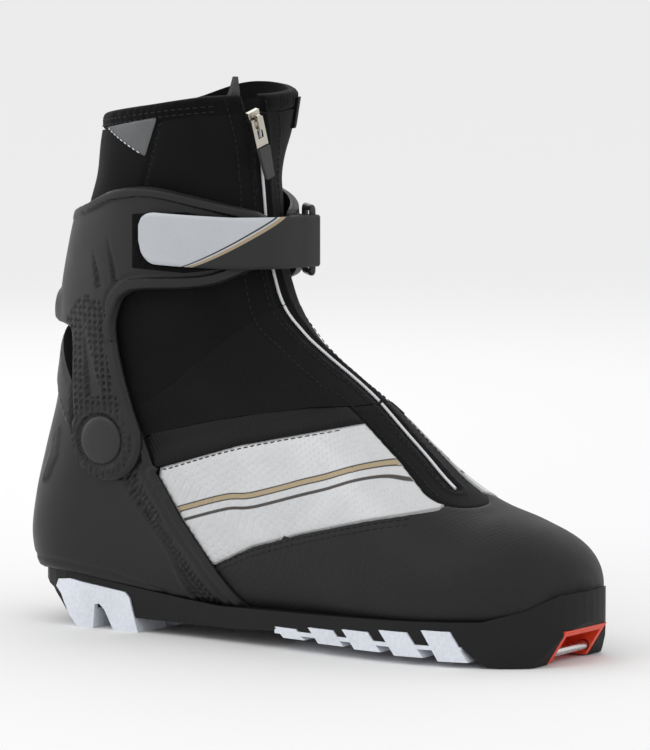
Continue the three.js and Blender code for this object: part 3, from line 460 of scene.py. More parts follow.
# ------ materials
class Shader:
    """A small helper round one node tree."""

    def __init__(self, name, color, rough, metallic=0.0, sheen=0.0, specular=.5):
        self.material = bpy.data.materials.new(name)
        self.material.use_nodes = True
        self.tree = self.material.node_tree
        self.shader = self.tree.nodes["Principled BSDF"]
        self.color = (*color, 1)
        values = {"Base Color": self.color, "Roughness": rough, "Metallic": metallic,
                  "Sheen Weight": sheen, "Sheen Roughness": .4, "Specular IOR Level": specular}
        for key, value in values.items():
            self.put(self.shader, key, value)
        self.height = None
        self.rough = rough
        self.last_color = None

    def node(self, kind, **inputs):
        node = self.tree.nodes.new(kind)
        for key, value in inputs.items():
            self.put(node, key.replace("_", " "), value)
        return node

    def put(self, node, key, value):
        socket = node.inputs[int(key)] if key.isdigit() else node.inputs[key]
        if hasattr(value, "node"):
            self.tree.links.new(value, socket)
        else:
            socket.default_value = value

    def math(self, op, a, b=0.0, c=None, clamp=False):
        node = self.tree.nodes.new("ShaderNodeMath")
        node.operation = op
        node.use_clamp = clamp
        for k, value in enumerate((a, b) if c is None else (a, b, c)):
            self.put(node, str(k), value)
        return node.outputs[0]

    def attribute(self, name):
        node = self.tree.nodes.new("ShaderNodeAttribute")
        node.attribute_name = name
        return node

    def space(self, scale=1.0, turn=0.0, source="object"):
        """Coordinates in mm times a scale: the object's own, or the panel's own 'mm' sheet."""
        if source == "object":
            out = self.node("ShaderNodeTexCoord").outputs["Object"]
            scale *= 1000
        else:
            out = self.attribute("mm").outputs["Vector"]
        mapping = self.node("ShaderNodeMapping", Vector=out)
        mapping.inputs["Scale"].default_value = (scale, scale, scale)
        mapping.inputs["Rotation"].default_value = (0, 0, turn)
        return mapping.outputs[0]

    def speckle(self, size, detail=2.0):
        node = self.node("ShaderNodeTexNoise", Vector=self.space(1 / size), Detail=detail, Scale=1.0)
        return node.outputs["Fac"]

    def dots(self, pitch, turn=0.0):
        """Distance from a regular grid of points, 0 at a point."""
        node = self.node("ShaderNodeTexVoronoi", Vector=self.space(1 / pitch, turn, "mm"),
                         Scale=1.0, Randomness=0.0)
        node.voronoi_dimensions = "2D"
        return node.outputs["Distance"]

    def weave(self, pitch):
        """Over and under threads."""
        out = []
        for axis in ("X", "Y"):
            node = self.node("ShaderNodeTexWave", Vector=self.space(1 / pitch, source="mm"),
                             Scale=.5, Distortion=.6)
            node.bands_direction = axis
            out.append(node.outputs["Fac"])
        return self.math("MULTIPLY", *out)

    def band(self, value, low, high, soft=.25):
        """1 between low and high."""
        rise = self.math("MULTIPLY_ADD", value, 1 / soft, -low / soft + .5, clamp=True)
        fall = self.math("MULTIPLY_ADD", value, -1 / soft, high / soft + .5, clamp=True)
        return self.math("MULTIPLY", rise, fall)

    def mix(self, fac, a, b):
        node = self.tree.nodes.new("ShaderNodeMix")
        node.data_type = "RGBA"
        for socket, value in ((0, fac), (6, a), (7, b)):
            if hasattr(value, "node"):
                self.tree.links.new(value, node.inputs[socket])
            else:
                node.inputs[socket].default_value = value if socket == 0 else (*value[:3], 1)
        return node.outputs[2]

    def tint(self, fac, color):
        """Mixes a colour in where fac is 1."""
        self.last_color = self.mix(fac, self.last_color or self.color, color)
        self.tree.links.new(self.last_color, self.shader.inputs["Base Color"])

    def vary(self, size=30.0, amount=.25, fine=1.2):
        """Uneven dye: large patches and a fine grain."""
        both = self.math("ADD", self.math("MULTIPLY", self.speckle(size), .6),
                         self.math("MULTIPLY", self.speckle(fine), .6))
        fac = self.math("MULTIPLY_ADD", both, 2.2, -.8, clamp=True)
        lighter = tuple(min(1, c * (1 + amount)) for c in self.color[:3])
        darker = tuple(c * (1 - amount) for c in self.color[:3])
        self.last_color = self.mix(fac, darker, lighter)
        self.tree.links.new(self.last_color, self.shader.inputs["Base Color"])

    def relief(self, value, amount):
        """Adds to the bump, in mm."""
        part = self.math("MULTIPLY", value, amount)
        self.height = part if self.height is None else self.math("ADD", self.height, part)

    def scuffs(self, amount=.15, size=9.0):
        fac = self.math("MULTIPLY_ADD", self.speckle(size, 4.0), amount * 2, self.rough - amount)
        self.tree.links.new(fac, self.shader.inputs["Roughness"])

    def done(self):
        if self.height is not None:
            node = self.node("ShaderNodeBump", Height=self.height, Distance=MM, Strength=1.0)
            self.tree.links.new(node.outputs[0], self.shader.inputs["Normal"])
        return self.material


def basic(name, color, rough, dye, grain, scuff=None, **kw):
    """The uneven dye, fine grain and worn sheen that most of the materials share."""
    s = Shader(name, color, rough, **kw)
    s.vary(*dye)
    size, detail, depth = grain
    s.relief(s.speckle(size, detail), depth)
    if scuff:
        s.scuffs(*scuff)
    return s


def softshell(name="softshell", color=(.0050, .0050, .0055), pitch=.9):
    s = basic(name, color, .78, (34, .22, 1.1), (.5, 3, .08), (.08, 14), sheen=.05, specular=.10)
    s.relief(s.weave(pitch), .10)
    return s.done()


def coated_fabric():
    s = basic("coated_fabric", (.0125, .0125, .0128), .56, (40, .18, .9), (.6, 3, .07), (.1, 18),
              sheen=.02, specular=.22)
    s.relief(s.band(s.dots(2.3, .4), -1, .22, .12), -.09)
    return s.done()


def band_fabric():
    """The ankle band: ribbed at its lower edge."""
    s = basic("ribbed_band", (.0075, .0075, .008), .6, (30, .2, .8), (.6, 2, .06),
              sheen=.03, specular=.15)
    wave = s.node("ShaderNodeTexWave", Vector=s.space(1 / 1.3, .35, "mm"), Scale=.5)
    s.relief(wave.outputs["Fac"], .16)
    return s.done()


def silver_fabric():
    s = basic("silver_coated", (.54, .55, .56), .45, (22, .06, 1.6), (5, 2, .25), (.08, 8),
              metallic=.25, sheen=.05)
    s.relief(s.band(s.dots(2.1, .785), -1, .2, .16), -.14)
    stripe = s.attribute("stripe").outputs["Fac"]
    s.tint(s.band(stripe, -1.5, 1.5, .3), (.03, .027, .024))
    s.tint(s.band(stripe, -.95, .95, .3), (.36, .285, .18))
    lower = s.attribute("stripe_low").outputs["Fac"]
    s.tint(s.band(lower, -.7, .7, .35), (.05, .045, .04))
    s.tint(s.band(s.attribute("edge").outputs["Fac"], -1, .9, .5), (.30, .30, .30))
    return s.done()


def plastic(name, color, rough, grain=.05, edge_highlight=True, shaded_pits=False):
    s = basic(name, color, rough, (36, .12, 1.5), (.45, 3, grain), (.09, 12),
              specular=.5 if sum(color) > .3 else .30)
    # Painted highlight: a lighter copy of the colour mixed onto sharp convex edges, where pointiness is
    # high.
    if edge_highlight:
        point = s.node("ShaderNodeNewGeometry").outputs["Pointiness"]
        s.tint(s.math("MULTIPLY_ADD", point, 9.0, -4.75, clamp=True), tuple(c * 2.2 + .006 for c in color))
    # Painted shade: darker colour in the recessed pockets, as deep as the 'pit' attribute says.
    if shaded_pits:
        s.tint(s.math("MULTIPLY", s.attribute("pit").outputs["Fac"], .85), (.0015, .0015, .0015))
    return s.done()


def metal(name, color, rough):
    s = Shader(name, color, rough, metallic=1.0)
    s.vary(6, .08, .8)
    streak = s.node("ShaderNodeTexNoise", Vector=s.space(1.0), Scale=3.0)
    s.relief(streak.outputs["Fac"], .006)
    s.scuffs(.1, 4)
    return s.done()


def felt(name="loop_felt", color=(.0055, .0055, .0055)):
    return basic(name, color, .95, (12, .35, .7), (.55, 4, .35), sheen=.08, specular=.05).done()


def rubber(name, color, rough=.62):
    return basic(name, color, rough, (28, .15, .8), (.7, 4, .08), (.1, 16), specular=.22).done()


def thread(name, color):
    return basic(name, color, .7, (4, .2, .5), (.25, 2, .05), sheen=.1, specular=.2).done()


def strap_finish():
    """Brushed silver, a curved thin stripe, and matte dark grey at the front."""
    s = Shader("strap_finish", (.47, .49, .52), .38, metallic=.6)
    s.vary(18, .07, .6)
    brush = s.node("ShaderNodeTexNoise", Vector=s.attribute("mm").outputs["Vector"], Scale=1.6)
    s.relief(brush.outputs["Fac"], .10)
    curve = s.attribute("curve").outputs["Fac"]
    s.tint(s.band(curve, .9, 400, .3), (.024, .024, .025))
    s.tint(s.band(curve, -.9, .9, .3), (.36, .28, .18))
    s.tint(s.band(curve, -2.6, -1.7, .3), (.03, .03, .03))
    s.tint(s.band(s.attribute("face").outputs["Fac"], -1, .5, .2), (.016, .016, .0165))
    s.scuffs(.06, 5)
    return s.done()


SOFTSHELL = softshell()
FLEX = softshell("stretch_knit", (.0062, .0062, .0067), 1.3)
COATED = coated_fabric()
BAND = band_fabric()
SILVER = silver_fabric()
CUFF = plastic("cuff_plastic", (.0115, .0115, .0120), .46, shaded_pits=True)
COUNTER = plastic("counter_plastic", (.0085, .0085, .0088), .42, shaded_pits=True)
PIVOT_CAP = plastic("pivot_cap", (.022, .022, .022), .36, .02)
SATIN = plastic("flex_spine", (.009, .009, .0093), .42, .03, edge_highlight=False)
RUBBER = rubber("sole_rubber", (.0085, .0085, .0088))
TREAD = plastic("tread_white", (.66, .69, .75), .42, .02, edge_highlight=False)
INSERT = plastic("insert_red", (.72, .055, .018), .38, .02, edge_highlight=False)
STEEL = metal("bar_steel", (.62, .62, .62), .28)
NICKEL = metal("nickel", (.50, .47, .41), .22)
ZIP_WHITE = plastic("zip_coil", (.62, .63, .65), .42, .02, edge_highlight=False)
FELT = felt()
BINDING = felt("rim_binding", (.006, .006, .0063))
GREY_RUBBER = rubber("grey_rubber", (.055, .055, .057), .55)
BLACK_THREAD = thread("black_thread", (.010, .010, .0105))
WHITE_THREAD = thread("white_thread", (.55, .55, .56))
REFLECTIVE = metal("reflective_film", (.13, .135, .14), .5)
BOARD = rubber("lasting_board", (.22, .17, .11), .8)
STRAP = strap_finish()


# ------ the zip's line on the surface
zip_upper = locate(spline(ZIP_FRONT, 24)[2:], (1, 2), FRONT)
zip_lower = locate(spline(ZIP_TOP, 24), (0, 1), FRONT)
zip_knots = np.vstack([zip_upper[::3], zip_lower[3:-2:3], zip_lower[-1:]])
zip_uv = spline(zip_knots, 260)
zip_path = on_last(zip_uv[:, 0], zip_uv[:, 1])


def zip_distance(p):
    """How far points lie from the zip line, and the signed side (minus is lateral)."""
    gap = np.full(len(p), 1e9)
    sign = np.ones(len(p))
    for k in range(0, len(p), 4000):
        d = p[k:k + 4000, None, :] - zip_path[None, ::3, :]
        r = np.linalg.norm(d, axis=2)
        near = r.argmin(1)
        gap[k:k + 4000] = r[np.arange(len(near)), near]
        sign[k:k + 4000] = np.sign(d[np.arange(len(near)), near, 1])
    return gap, sign


upper_flex = lambda p: over(side(p), UPPER_FLEX)
lower_flex = lambda p: over(side(p), LOWER_FLEX)
COIL_R = .68
LATTICE = 3.6
PLACKET = 17.0
RIM_LIFT = 8.0
OPEN_X = 20
SIDE_WEIGHT = 40
BACK = -2


def zone(kind, p):
    """Signed distance inside one of the three parts of the boot's height."""
    if kind == "boot":
        return -lower_flex(p) - .1
    if kind == "cuff":
        return upper_flex(p) - .1
    return np.minimum(lower_flex(p), -upper_flex(p))


def placket_field(p):
    return PLACKET - zip_distance(p)[0]


def zip_relief(p, rise=.7, base=-.35):
    """The tape beside the zip and the raised lip at its edge."""
    gap = zip_distance(p)[0]
    return base + rise * smooth((gap - 3.6) / 1.0), .5 * bump(gap - 5.2, 1.6), gap


# ------ panels of the lower boot
def sole_clear(p):
    return over(side(p), SOLE_LINE) + 3.0


def build_lower():
    rear = [*COUNTER_EDGE, [22, 88], [19, 130], [-300, 130], [-300, -30], [80, -30]]
    vamp_top = [[-80, 34], [58, 34], *QUARTER_BOTTOM[1:], [172, 80], [320, 80]]

    def ahead(p):
        return np.minimum(-inside_outline(side(p), rear), -placket_field(p))

    def vamp(p, t):
        return np.minimum.reduce([-over(side(p), vamp_top), ahead(p), sole_clear(p)])

    def heel(p, t):
        return np.minimum.reduce([inside_outline(side(p), rear), zone("boot", p), sole_clear(p)])

    def flank(sign, above):
        """Between the vamp and the flexing ankle on one side, below the quarter's top line or above it."""
        def field(p, t):
            return np.minimum.reduce([over(side(p), vamp_top), above * over(side(p), QUARTER_TOP),
                                      ahead(p), zone("boot", p), sign * t * SIDE_WEIGHT])
        return field

    finish(patch("heel_quarter_skin", heel, pillow(.3, 2, -.3), BACK),
           "boot", "knit", SOFTSHELL, "heel_quarter")
    finish(patch("vamp_skin", vamp, pillow(.5, 2.0, 0, 3, .35, 22), BACK, 1.5, (-1, 18)),
           "boot", "coated", COATED, "vamp")

    stripe = [[26, 53], [37, 57.3], [64.8, 65.1], [80.1, 67.1], [113.3, 76.1], [138.7, 82.9],
              [152, 81]]

    def stripe_at(p, t):
        q = side(p)
        gap = line_distance(q, spline(stripe, 60))
        z = np.interp(q[:, 0], [s[0] for s in stripe], [s[1] for s in stripe])
        return np.where(q[:, 1] > z, gap, -gap)

    def silver_out(p, f, t):
        return .1 + .9 * roll(f, 1.6) + (wrinkle(p, 15, .8, 4) + wrinkle(p, 34, .7, 9)) * smooth(f / 12)

    extra = {"stripe": stripe_at, "stripe_low": lambda p, t: stripe_at(p, t) + 5.2}
    for sign, word in ((-1, "lateral"), (1, "medial")):
        turns = (-np.pi, 0) if sign < 0 else (0, np.pi)
        obj = patch(f"quarter_{word}_skin", flank(sign, -1), silver_out, BACK, 1.1, (3, 18),
                    turns, extra)
        finish(obj, "boot", "silver", SILVER, f"quarter_{word}")

        def band_out(p, f, t):
            d = over(side(p), QUARTER_TOP)
            step = .9 * smooth((8.5 - d) / 1.5) * smooth(f / 1.2)
            return pillow(.4, 1.5, 0, 5)(p, f, t) + step
        obj = patch(f"ankle_band_{word}_skin", flank(sign, 1), band_out, BACK, 1.2, (4, 20), turns)
        finish(obj, "boot", "knit", BAND, f"ankle_band_{word}")

    def placket(p, t):
        return np.minimum(placket_field(p) - .1, zone("boot", p))

    def placket_out(p, f, t):
        tape, lip, _ = zip_relief(p)
        return tape + lip + .5 * (smooth(f / 1.5) - 1) + wrinkle(p, 20, .3, 2)
    finish(patch("zip_placket_skin", placket, placket_out, BACK, .9, (4, 20), (-1.6, 1.6)),
           "boot", "knit", SOFTSHELL, "zip_placket")


# ------ the flexing ankle and the collar
FLEX_SPLIT = 4


def build_upper():
    def front(p, t):
        return np.minimum(zone("flex", p), p[:, 0] - FLEX_SPLIT)

    def front_out(p, f, t):
        tape, lip, gap = zip_relief(p)
        return tape + lip + wrinkle(p, 19, .9, 6) * smooth((gap - 8) / 10)
    finish(patch("ankle_flex_front", front, front_out, BACK, 1.3, (5, 22)),
           "flex", "knit", FLEX, "ankle_gaiter")

    def spine_out(p, f, t):
        back = smooth((-15.5 - p[:, 0]) / 2.5)
        under_cuff = smooth((136.5 - p[:, 2]) / 2.5)
        return 1.8 + 2.8 * back * (.5 + .5 * under_cuff) - .9 * (1 - smooth(f / 2)) * back

    def spine(p, t):
        q = side(p)
        return np.minimum.reduce([over(q, LOWER_FLEX), -over(q - [0, 4.5], UPPER_FLEX),
                                  FLEX_SPLIT - p[:, 0]])
    finish(patch("ankle_flex_spine", spine, spine_out, BACK, 1.0, (13, 23)),
           "spine", "coated", SATIN, "ankle_gaiter")

    def rim(p, drop=0.0):
        """Signed distance above the rim, which is higher on the medial side."""
        lift = RIM_LIFT * smooth((p[:, 1] + 6) / 26) * np.exp(-((p[:, 0] - 24) / 30) ** 2)
        return over(side(p) - np.stack([0 * lift, lift - drop], 1), RIM)

    def collar(sign):
        def field(p, t):
            gap, way = zip_distance(p)
            split = np.where(p[:, 0] > OPEN_X, sign * way * gap, sign * p[:, 1])
            return np.minimum.reduce([zone("cuff", p), -rim(p, 8), split - .05,
                                      np.where(p[:, 0] > OPEN_X, gap - .05, 9.0)])
        return field

    def collar_out(p, f, t):
        tape, lip, gap = zip_relief(p, .8, -.5)
        beside = np.where(p[:, 0] > OPEN_X, tape + lip, .3)
        folds = wrinkle(p, 17, .9, 11) * smooth((gap - 8) / 12)
        seam_gap = line_distance(side(p), [[30.2, 232.6], [19.5, 199.4], [17, 150]])
        return beside + folds - .6 * bump(seam_gap, 1.6)
    for sign, word in ((-1, "lateral"), (1, "medial")):
        obj = patch(f"collar_{word}_skin", collar(sign), collar_out, 2 * BACK, 1.1, (12, TOP))
        tape_node = ["zip_tape_upper"] if sign < 0 else []
        finish(obj, "flex", "knit", SOFTSHELL, f"collar_{word}", *tape_node)

    def binding(p, t):
        gap = zip_distance(p)[0]
        return np.minimum.reduce([rim(p, 8), -rim(p), np.where(p[:, 0] > OPEN_X, gap - 5.0, 9.0)])

    def binding_out(p, f, t):
        ripple = .18 * np.cos((p[:, 0] + 1.3 * p[:, 1]) * 2 * np.pi / 3.4)
        uneven = wrinkle(p, 2.2, .35, 3) * smooth(f / 1.5)
        return -1.2 + 1.9 * roll(f, 3.0) + ripple * smooth(f / 2) + uneven
    finish(patch("collar_binding_skin", binding, binding_out, 2 * BACK, .9, (22, TOP)),
           "cuff", "felt", BINDING, "collar_binding")

    def patch_field(p, t):
        tri = [[-3.2, 226.6], [29.0, 232.0], [21.6, 214.5]]
        return np.minimum(inside_outline(side(p), tri), -p[:, 1])

    finish(patch("reflective_triangle", patch_field, pillow(.35, .8, .75, 2, .1), .3, 1.0, (22, TOP),
                 (-np.pi, 0)), "cuff", "reflect", REFLECTIVE, "reflective_patch")


# ------ heel counter
COUNTER_FRONT = [*COUNTER_EDGE, [19, 91]]
REAR_BORDER = [[-14, 95], [8.3, 69.2], [34.3, 39.3], [47.2, 13.6]]


def from_pivot(q):
    return np.hypot(q[:, 0] - PIVOT[0], q[:, 1] - PIVOT[1])


def counter_pit(p, t=None):
    """How deep a point lies in the diamond lattice behind the counter's front ridges."""
    q = side(p)
    edge = line_distance(q, COUNTER_FRONT)
    behind = np.interp(q[:, 1], *np.array(REAR_BORDER)[::-1, ::-1].T) - q[:, 0]
    lattice = smooth((edge - 8.4) / .8) * smooth((-1.0 - behind) / .8) * (q[:, 1] < 74)
    a = np.abs(((q[:, 0] * 1.1 + q[:, 1]) / LATTICE) % 1 - .5) * 2
    b = np.abs(((q[:, 0] * 1.1 - q[:, 1]) / LATTICE) % 1 - .5) * 2
    return lattice * smooth((np.minimum(a, b) - .2) / .3)


def build_counter():
    outline = [*COUNTER_EDGE, *COUNTER_TOP, [-80, -30], [80, -30]]

    def field(p, t):
        return np.minimum(inside_outline(side(p), outline), over(side(p), SOLE_LINE) - .3)

    def out(p, f, t):
        q = side(p)
        edge = line_distance(q, COUNTER_FRONT)
        border = line_distance(q, REAR_BORDER[1:])
        value = 2.7 - 1.2 * (1 - smooth(f / 1.8))
        value += .7 * bump(edge - 2.4, 1.3) + .6 * bump(edge - 6.2, 1.3)
        value -= .75 * counter_pit(p)
        value += .45 * bump(border, 1.2) * (q[:, 1] < 72)
        for k in range(3):
            start = [-27.4 - 2.2 * k, 89 - 1.5 * k]
            ridge = line_distance(q, [start, [-28.5 - 2.2 * k, 78], [-35 - 1.6 * k, 66]])
            value += .6 * bump(ridge, 1.3)
        crease = line_distance(q, [[-58, 31], [-34.7, 30.8], [1.9, 27.1], [30, 21]])
        value -= .5 * bump(crease, 1.2)
        ring = from_pivot(q)
        return np.where(ring < 20, np.minimum(value, 2.75), value)
    # The 'pit' attribute carries the pockets' depth to the material, which paints shade into them.
    obj = patch("heel_counter_shell", field, out, .3, .6, (8, 21), extra={"pit": counter_pit})
    finish(obj, "boot", "counter", COUNTER, "heel_counter")


# ------ cuff
CUFF_BASE = 6.1
BOSS_FACE = 44.9
WEDGE = ((-9.6, 145), (-2.4, 106.5), 8.6)
SLASH_REAR = ((-4.6, 177), (.6, 155.6), 4.6)
SLASH_FRONT = ((3.4, 183.5), (9.6, 158.6), 4.6)


def taper(q, tip, root, width):
    """Depth of a wedge-shaped slot: nothing at the tip, widest at the root."""
    tip, root = np.array(tip), np.array(root)
    d = root - tip
    length = np.linalg.norm(d)
    along = ((q - tip) @ d) / length ** 2
    cross = ((q - tip) @ np.array([-d[1], d[0]])) / length
    half = width / 2 * np.clip(along, 0.02, 1)
    reach = smooth((half - np.abs(cross)) / .7) * ((along > 0) & (along < 1))
    return reach * np.clip(along * 1.3, .3, 1), cross / np.maximum(half, .2)


def cuff_field(p, t):
    return inside_outline(side(p), CUFF_OUTLINE)


def cuff_pit(p, t=None):
    """How deep a point lies in the small square pockets of the cuff's arm."""
    q = side(p)
    f = inside_outline(q, CUFF_OUTLINE)
    ring = from_pivot(q)
    arm_front = line_distance(q, [[8.2, 137], [11.5, 118.3], [16.3, 101.4], *arc[:8]])
    cap = 151 - .05 * (q[:, 0] + 6) ** 2
    wedge, _ = taper(q, *WEDGE)
    arm = (f > 2.0) & (arm_front > 5.6) & (q[:, 1] < cap) & (ring > 14.0)
    arm &= (wedge < .02) & (q[:, 0] < 16)
    ring_zone = (ring > 13.6) & (ring < 16.8) & (q[:, 1] < 90)
    cell_x = np.abs(((q[:, 0] + .045 * q[:, 1]) / 3.1) % 1 - .5) * 2
    cell_z = np.abs((q[:, 1] / 3.0) % 1 - .5) * 2
    hole = smooth((.68 - np.maximum(cell_x, cell_z)) / .22)
    return hole * (arm | ring_zone)


def cuff_out(p, f, t):
    q = side(p)
    value = CUFF_BASE - 1.1 * (1 - smooth(f / 1.6))
    front = smooth((q[:, 0] + 34) / 30)
    top = line_distance(q, CUFF_TOP_LINE)
    value += 1.5 * front * smooth((4.6 - top) / .5) * smooth(f / .9)
    low = line_distance(q, spline(CUFF_LOW[:7], 60))
    value += 1.6 * smooth((5.4 - low) / .5) * smooth(f / .9)
    value -= .35 * bump(low - 6.6, 1.2)
    ring = from_pivot(q)
    value -= .7 * cuff_pit(p)
    for (tip, root, width), depth in ((WEDGE, 1.5), (SLASH_REAR, 1.4), (SLASH_FRONT, 1.4)):
        deep, tilt = taper(q, tip, root, width)
        value -= depth * deep * np.clip(.6 - .4 * tilt, .15, 1)
    back = np.abs(t) > 2.4
    value += 2.4 * bump(q[:, 1] - 143.5, 8.0) * back * smooth((np.abs(t) - 2.4) / .3)
    boss = smooth((17.5 - ring) / 2.5)
    target = BOSS_FACE - np.abs(p[:, 1])
    value = np.where(ring < 20, value * (1 - boss) + np.maximum(target, 4.4) * boss, value)
    value -= .4 * cuff_pit(p) * boss
    return value - 1.1 * smooth((12.4 - ring) / .4)


def build_cuff():
    # The 'pit' attribute carries the pockets' depth to the material, which paints shade into them.
    obj = patch("cuff_moulding", cuff_field, cuff_out, 3.7, .5, (10.5, 25), extra={"pit": cuff_pit})
    finish(obj, "cuff", "cuff", CUFF, "cuff_shell")
    for side_y, word in ((-1, "lateral"), (1, "medial")):
        rings = [(0, 46.6), (3, 46.58), (6, 46.4), (8.6, 46.1), (10.2, 45.7), (11, 45.0),
                 (11.2, 44.2), (11.2, 43.2), (5, 43.0), (5, 39.4), (0, 39.4)]
        points, sides = [], 48
        for r, y in rings:
            for s in range(sides):
                a = 2 * np.pi * s / sides
                points.append((PIVOT[0] + r * math.cos(a), side_y * (y - .8), PIVOT[1] + r * math.sin(a)))
        obj = make(f"pivot_cap_{word}", points, bridge(len(rings), sides))
        mesh = bmesh.new()
        mesh.from_mesh(obj.data)
        bmesh.ops.remove_doubles(mesh, verts=mesh.verts, dist=1e-6)
        bmesh.ops.recalc_face_normals(mesh, faces=mesh.faces)
        mesh.to_mesh(obj.data)
        mesh.free()
        finish(obj, "boot", "cuff", PIVOT_CAP, f"pivot_{word}")

    def pad(p, t):
        outline = [[18, 165], [18, 189], [40, 190.5], [58, 185], [58, 166], [40, 163.5]]
        return np.minimum(inside_outline(side(p), outline), -p[:, 1])

    def fuzz(p, f, t):
        return 7.2 - .5 * (1 - smooth(f / 1.0)) + wrinkle(p, 1.3, .5, 8) * smooth(f / 1.0)
    finish(patch("loop_pad", pad, fuzz, 6.4, .6, (17, 25), (-np.pi, 0)),
           "cuff", "felt", FELT, "hook_pad")


# ------ strap, ring and its anchor
STRAP_Z = 176.5


def girth(z, turn, offset):
    low, high = 0.0, float(TOP)
    for _ in range(40):
        middle = (low + high) / 2
        if base_point(np.array([middle]), np.array([turn]))[0][2] < z and middle > 0:
            low = middle
        else:
            high = middle
    return on_last(np.array([low]), np.array([turn]), offset)[0]


def ribbon(name, line, thick, lower, upper, pitch, end=None, curve=None):
    """A flat band standing on edge along a plan-view line. lower and upper give its edges' heights at a
    distance along it; end cuts the line off before x first passes it."""
    path = spline(line, max(8, int(reach_along(np.array(line))[-1] / pitch)))
    if end is not None:
        path = path[np.argmax(path[:, 0] > end):]
    reach = reach_along(path)
    ahead = np.gradient(path, axis=0)
    ahead /= np.linalg.norm(ahead, axis=1, keepdims=True)
    left = np.stack([ahead[:, 1], -ahead[:, 0]], 1)
    section = [(s, 1) for s in np.linspace(0, 1, 25)] + [(s, -1) for s in np.linspace(1, 0, 25)]
    points, mm, face, curves = [], [], [], []
    count = len(section)
    for k, (x, y) in enumerate(path):
        low, high = lower(x, reach[k]), upper(x, reach[k])
        for s, way in section:
            edge = min(s, 1 - s) * (high - low)
            half = thick / 2 * math.sqrt(max(.12, 1 - (1 - min(1, edge / .9)) ** 2))
            z = low + (high - low) * s
            points.append((x + left[k][0] * half * way, y + left[k][1] * half * way, z))
            mm.append((reach[k], z * 14, 0))
            face.append(1.0 if way > 0 else 0.0)
            curves.append(curve(reach[k], z) if curve else 0.0)
    faces = [quad[::-1] for quad in bridge(len(path), count)]
    faces.append(tuple(range(count)))
    faces.append(tuple(reversed(range((len(path) - 1) * count, len(path) * count))))
    return make(name, points, faces, {"mm": mm, "face": face, "curve": curves}, 50)


def around_bar(bar, radius, start, sweep, steps=10):
    return [[bar[0] + radius * math.cos(math.radians(start + sweep * k / steps)),
             bar[1] + radius * math.sin(math.radians(start + sweep * k / steps))] for k in range(steps + 1)]


def build_strap():
    deg = math.radians
    outer_bar = girth(STRAP_Z, deg(9), 15.5)
    inner_bar = girth(STRAP_Z, deg(27), 9)
    loop = 2.75
    middle = 8.85
    plan = [list(girth(STRAP_Z, deg(a), middle)[:2]) for a in (-99, -88, -74, -60, -46)]
    plan += [list(girth(STRAP_Z, deg(-32), middle + 1)[:2]), list(girth(STRAP_Z, deg(-16), 13.5)[:2])]
    lean = np.array(plan[-1])
    to_bar = outer_bar[:2] - lean
    to_bar /= np.linalg.norm(to_bar)
    outward = np.array([to_bar[1], -to_bar[0]])
    tangent = math.degrees(math.atan2(outward[1], outward[0]))
    plan += [list(outer_bar[:2] + outward * loop - to_bar * 9)]
    plan += around_bar(outer_bar[:2], loop, tangent, 200)
    tail = np.array(plan[-1])
    plan += [list(tail - to_bar * 6 + outward * .3), list(tail - to_bar * 12 + outward * .6)]

    def heights(way):
        def at(x, s):
            z = STRAP_Z + 2.6 * np.clip((62 - x) / 38, 0, 1.2)
            edge = 11.5
            if s < 8:
                edge -= 5.5 * (1 - math.sqrt(max(0, 1 - (1 - s / 8) ** 2))) * (1.0 if way > 0 else 1.7)
            return z + way * edge
        return at

    def curve(s, z):
        rise = (z - (STRAP_Z - 11.5)) / 23
        return (s - (19 + 47 * max(rise, 0) ** .8)) * .62

    obj = ribbon("closure_strap", plan, 1.8, heights(-1), heights(1), 1.1, end=23.5, curve=curve)
    finish(obj, "strap", "strap", STRAP, "strap")

    half = 14.5
    a, b = inner_bar[:2], outer_bar[:2]
    corner = 1.8
    d = (b - a) / np.linalg.norm(b - a)
    loop_points = []
    span = np.linalg.norm(b - a)
    for cx, cz, start in ((span, half, 90), (span, -half, 0), (0, -half, -90), (0, half, -180)):
        ox = cx - corner if cx else corner
        oz = cz - math.copysign(corner, cz)
        for k in range(7):
            ang = math.radians(start - 90 * k / 6)
            flat = ox + corner * math.cos(ang)
            loop_points.append([*(a + d * flat), STRAP_Z + oz + corner * math.sin(ang)])
    dense = []
    for p, q in zip(loop_points, loop_points[1:] + loop_points[:1]):
        steps = max(1, int(np.linalg.norm(np.subtract(q, p)) / 2))
        dense += list(np.linspace(p, q, steps, endpoint=False))
    finish(tube("strap_loop_ring", dense, 1.5, 14, True), "ring", "cuff", PIVOT_CAP, "strap_ring")

    face = 7.3
    path = [list(girth(STRAP_Z, deg(t), face)[:2]) for t in (62, 54, 46, 39)]
    path.append(list(girth(STRAP_Z, deg(33), face + .4)[:2]))
    to_in = inner_bar[:2] - np.array(path[-1])
    to_in /= np.linalg.norm(to_in)
    out_in = np.array([-to_in[1], to_in[0]])
    begin = math.degrees(math.atan2(out_in[1], out_in[0]))
    path += around_bar(inner_bar[:2], 2.7, begin, -230)
    low = lambda x, s: STRAP_Z - 10.5
    high = lambda x, s: STRAP_Z + 10.5
    finish(ribbon("ring_webbing", path, 1.5, low, high, 1.0), "cuff", "felt", FLEX, "ring_anchor")


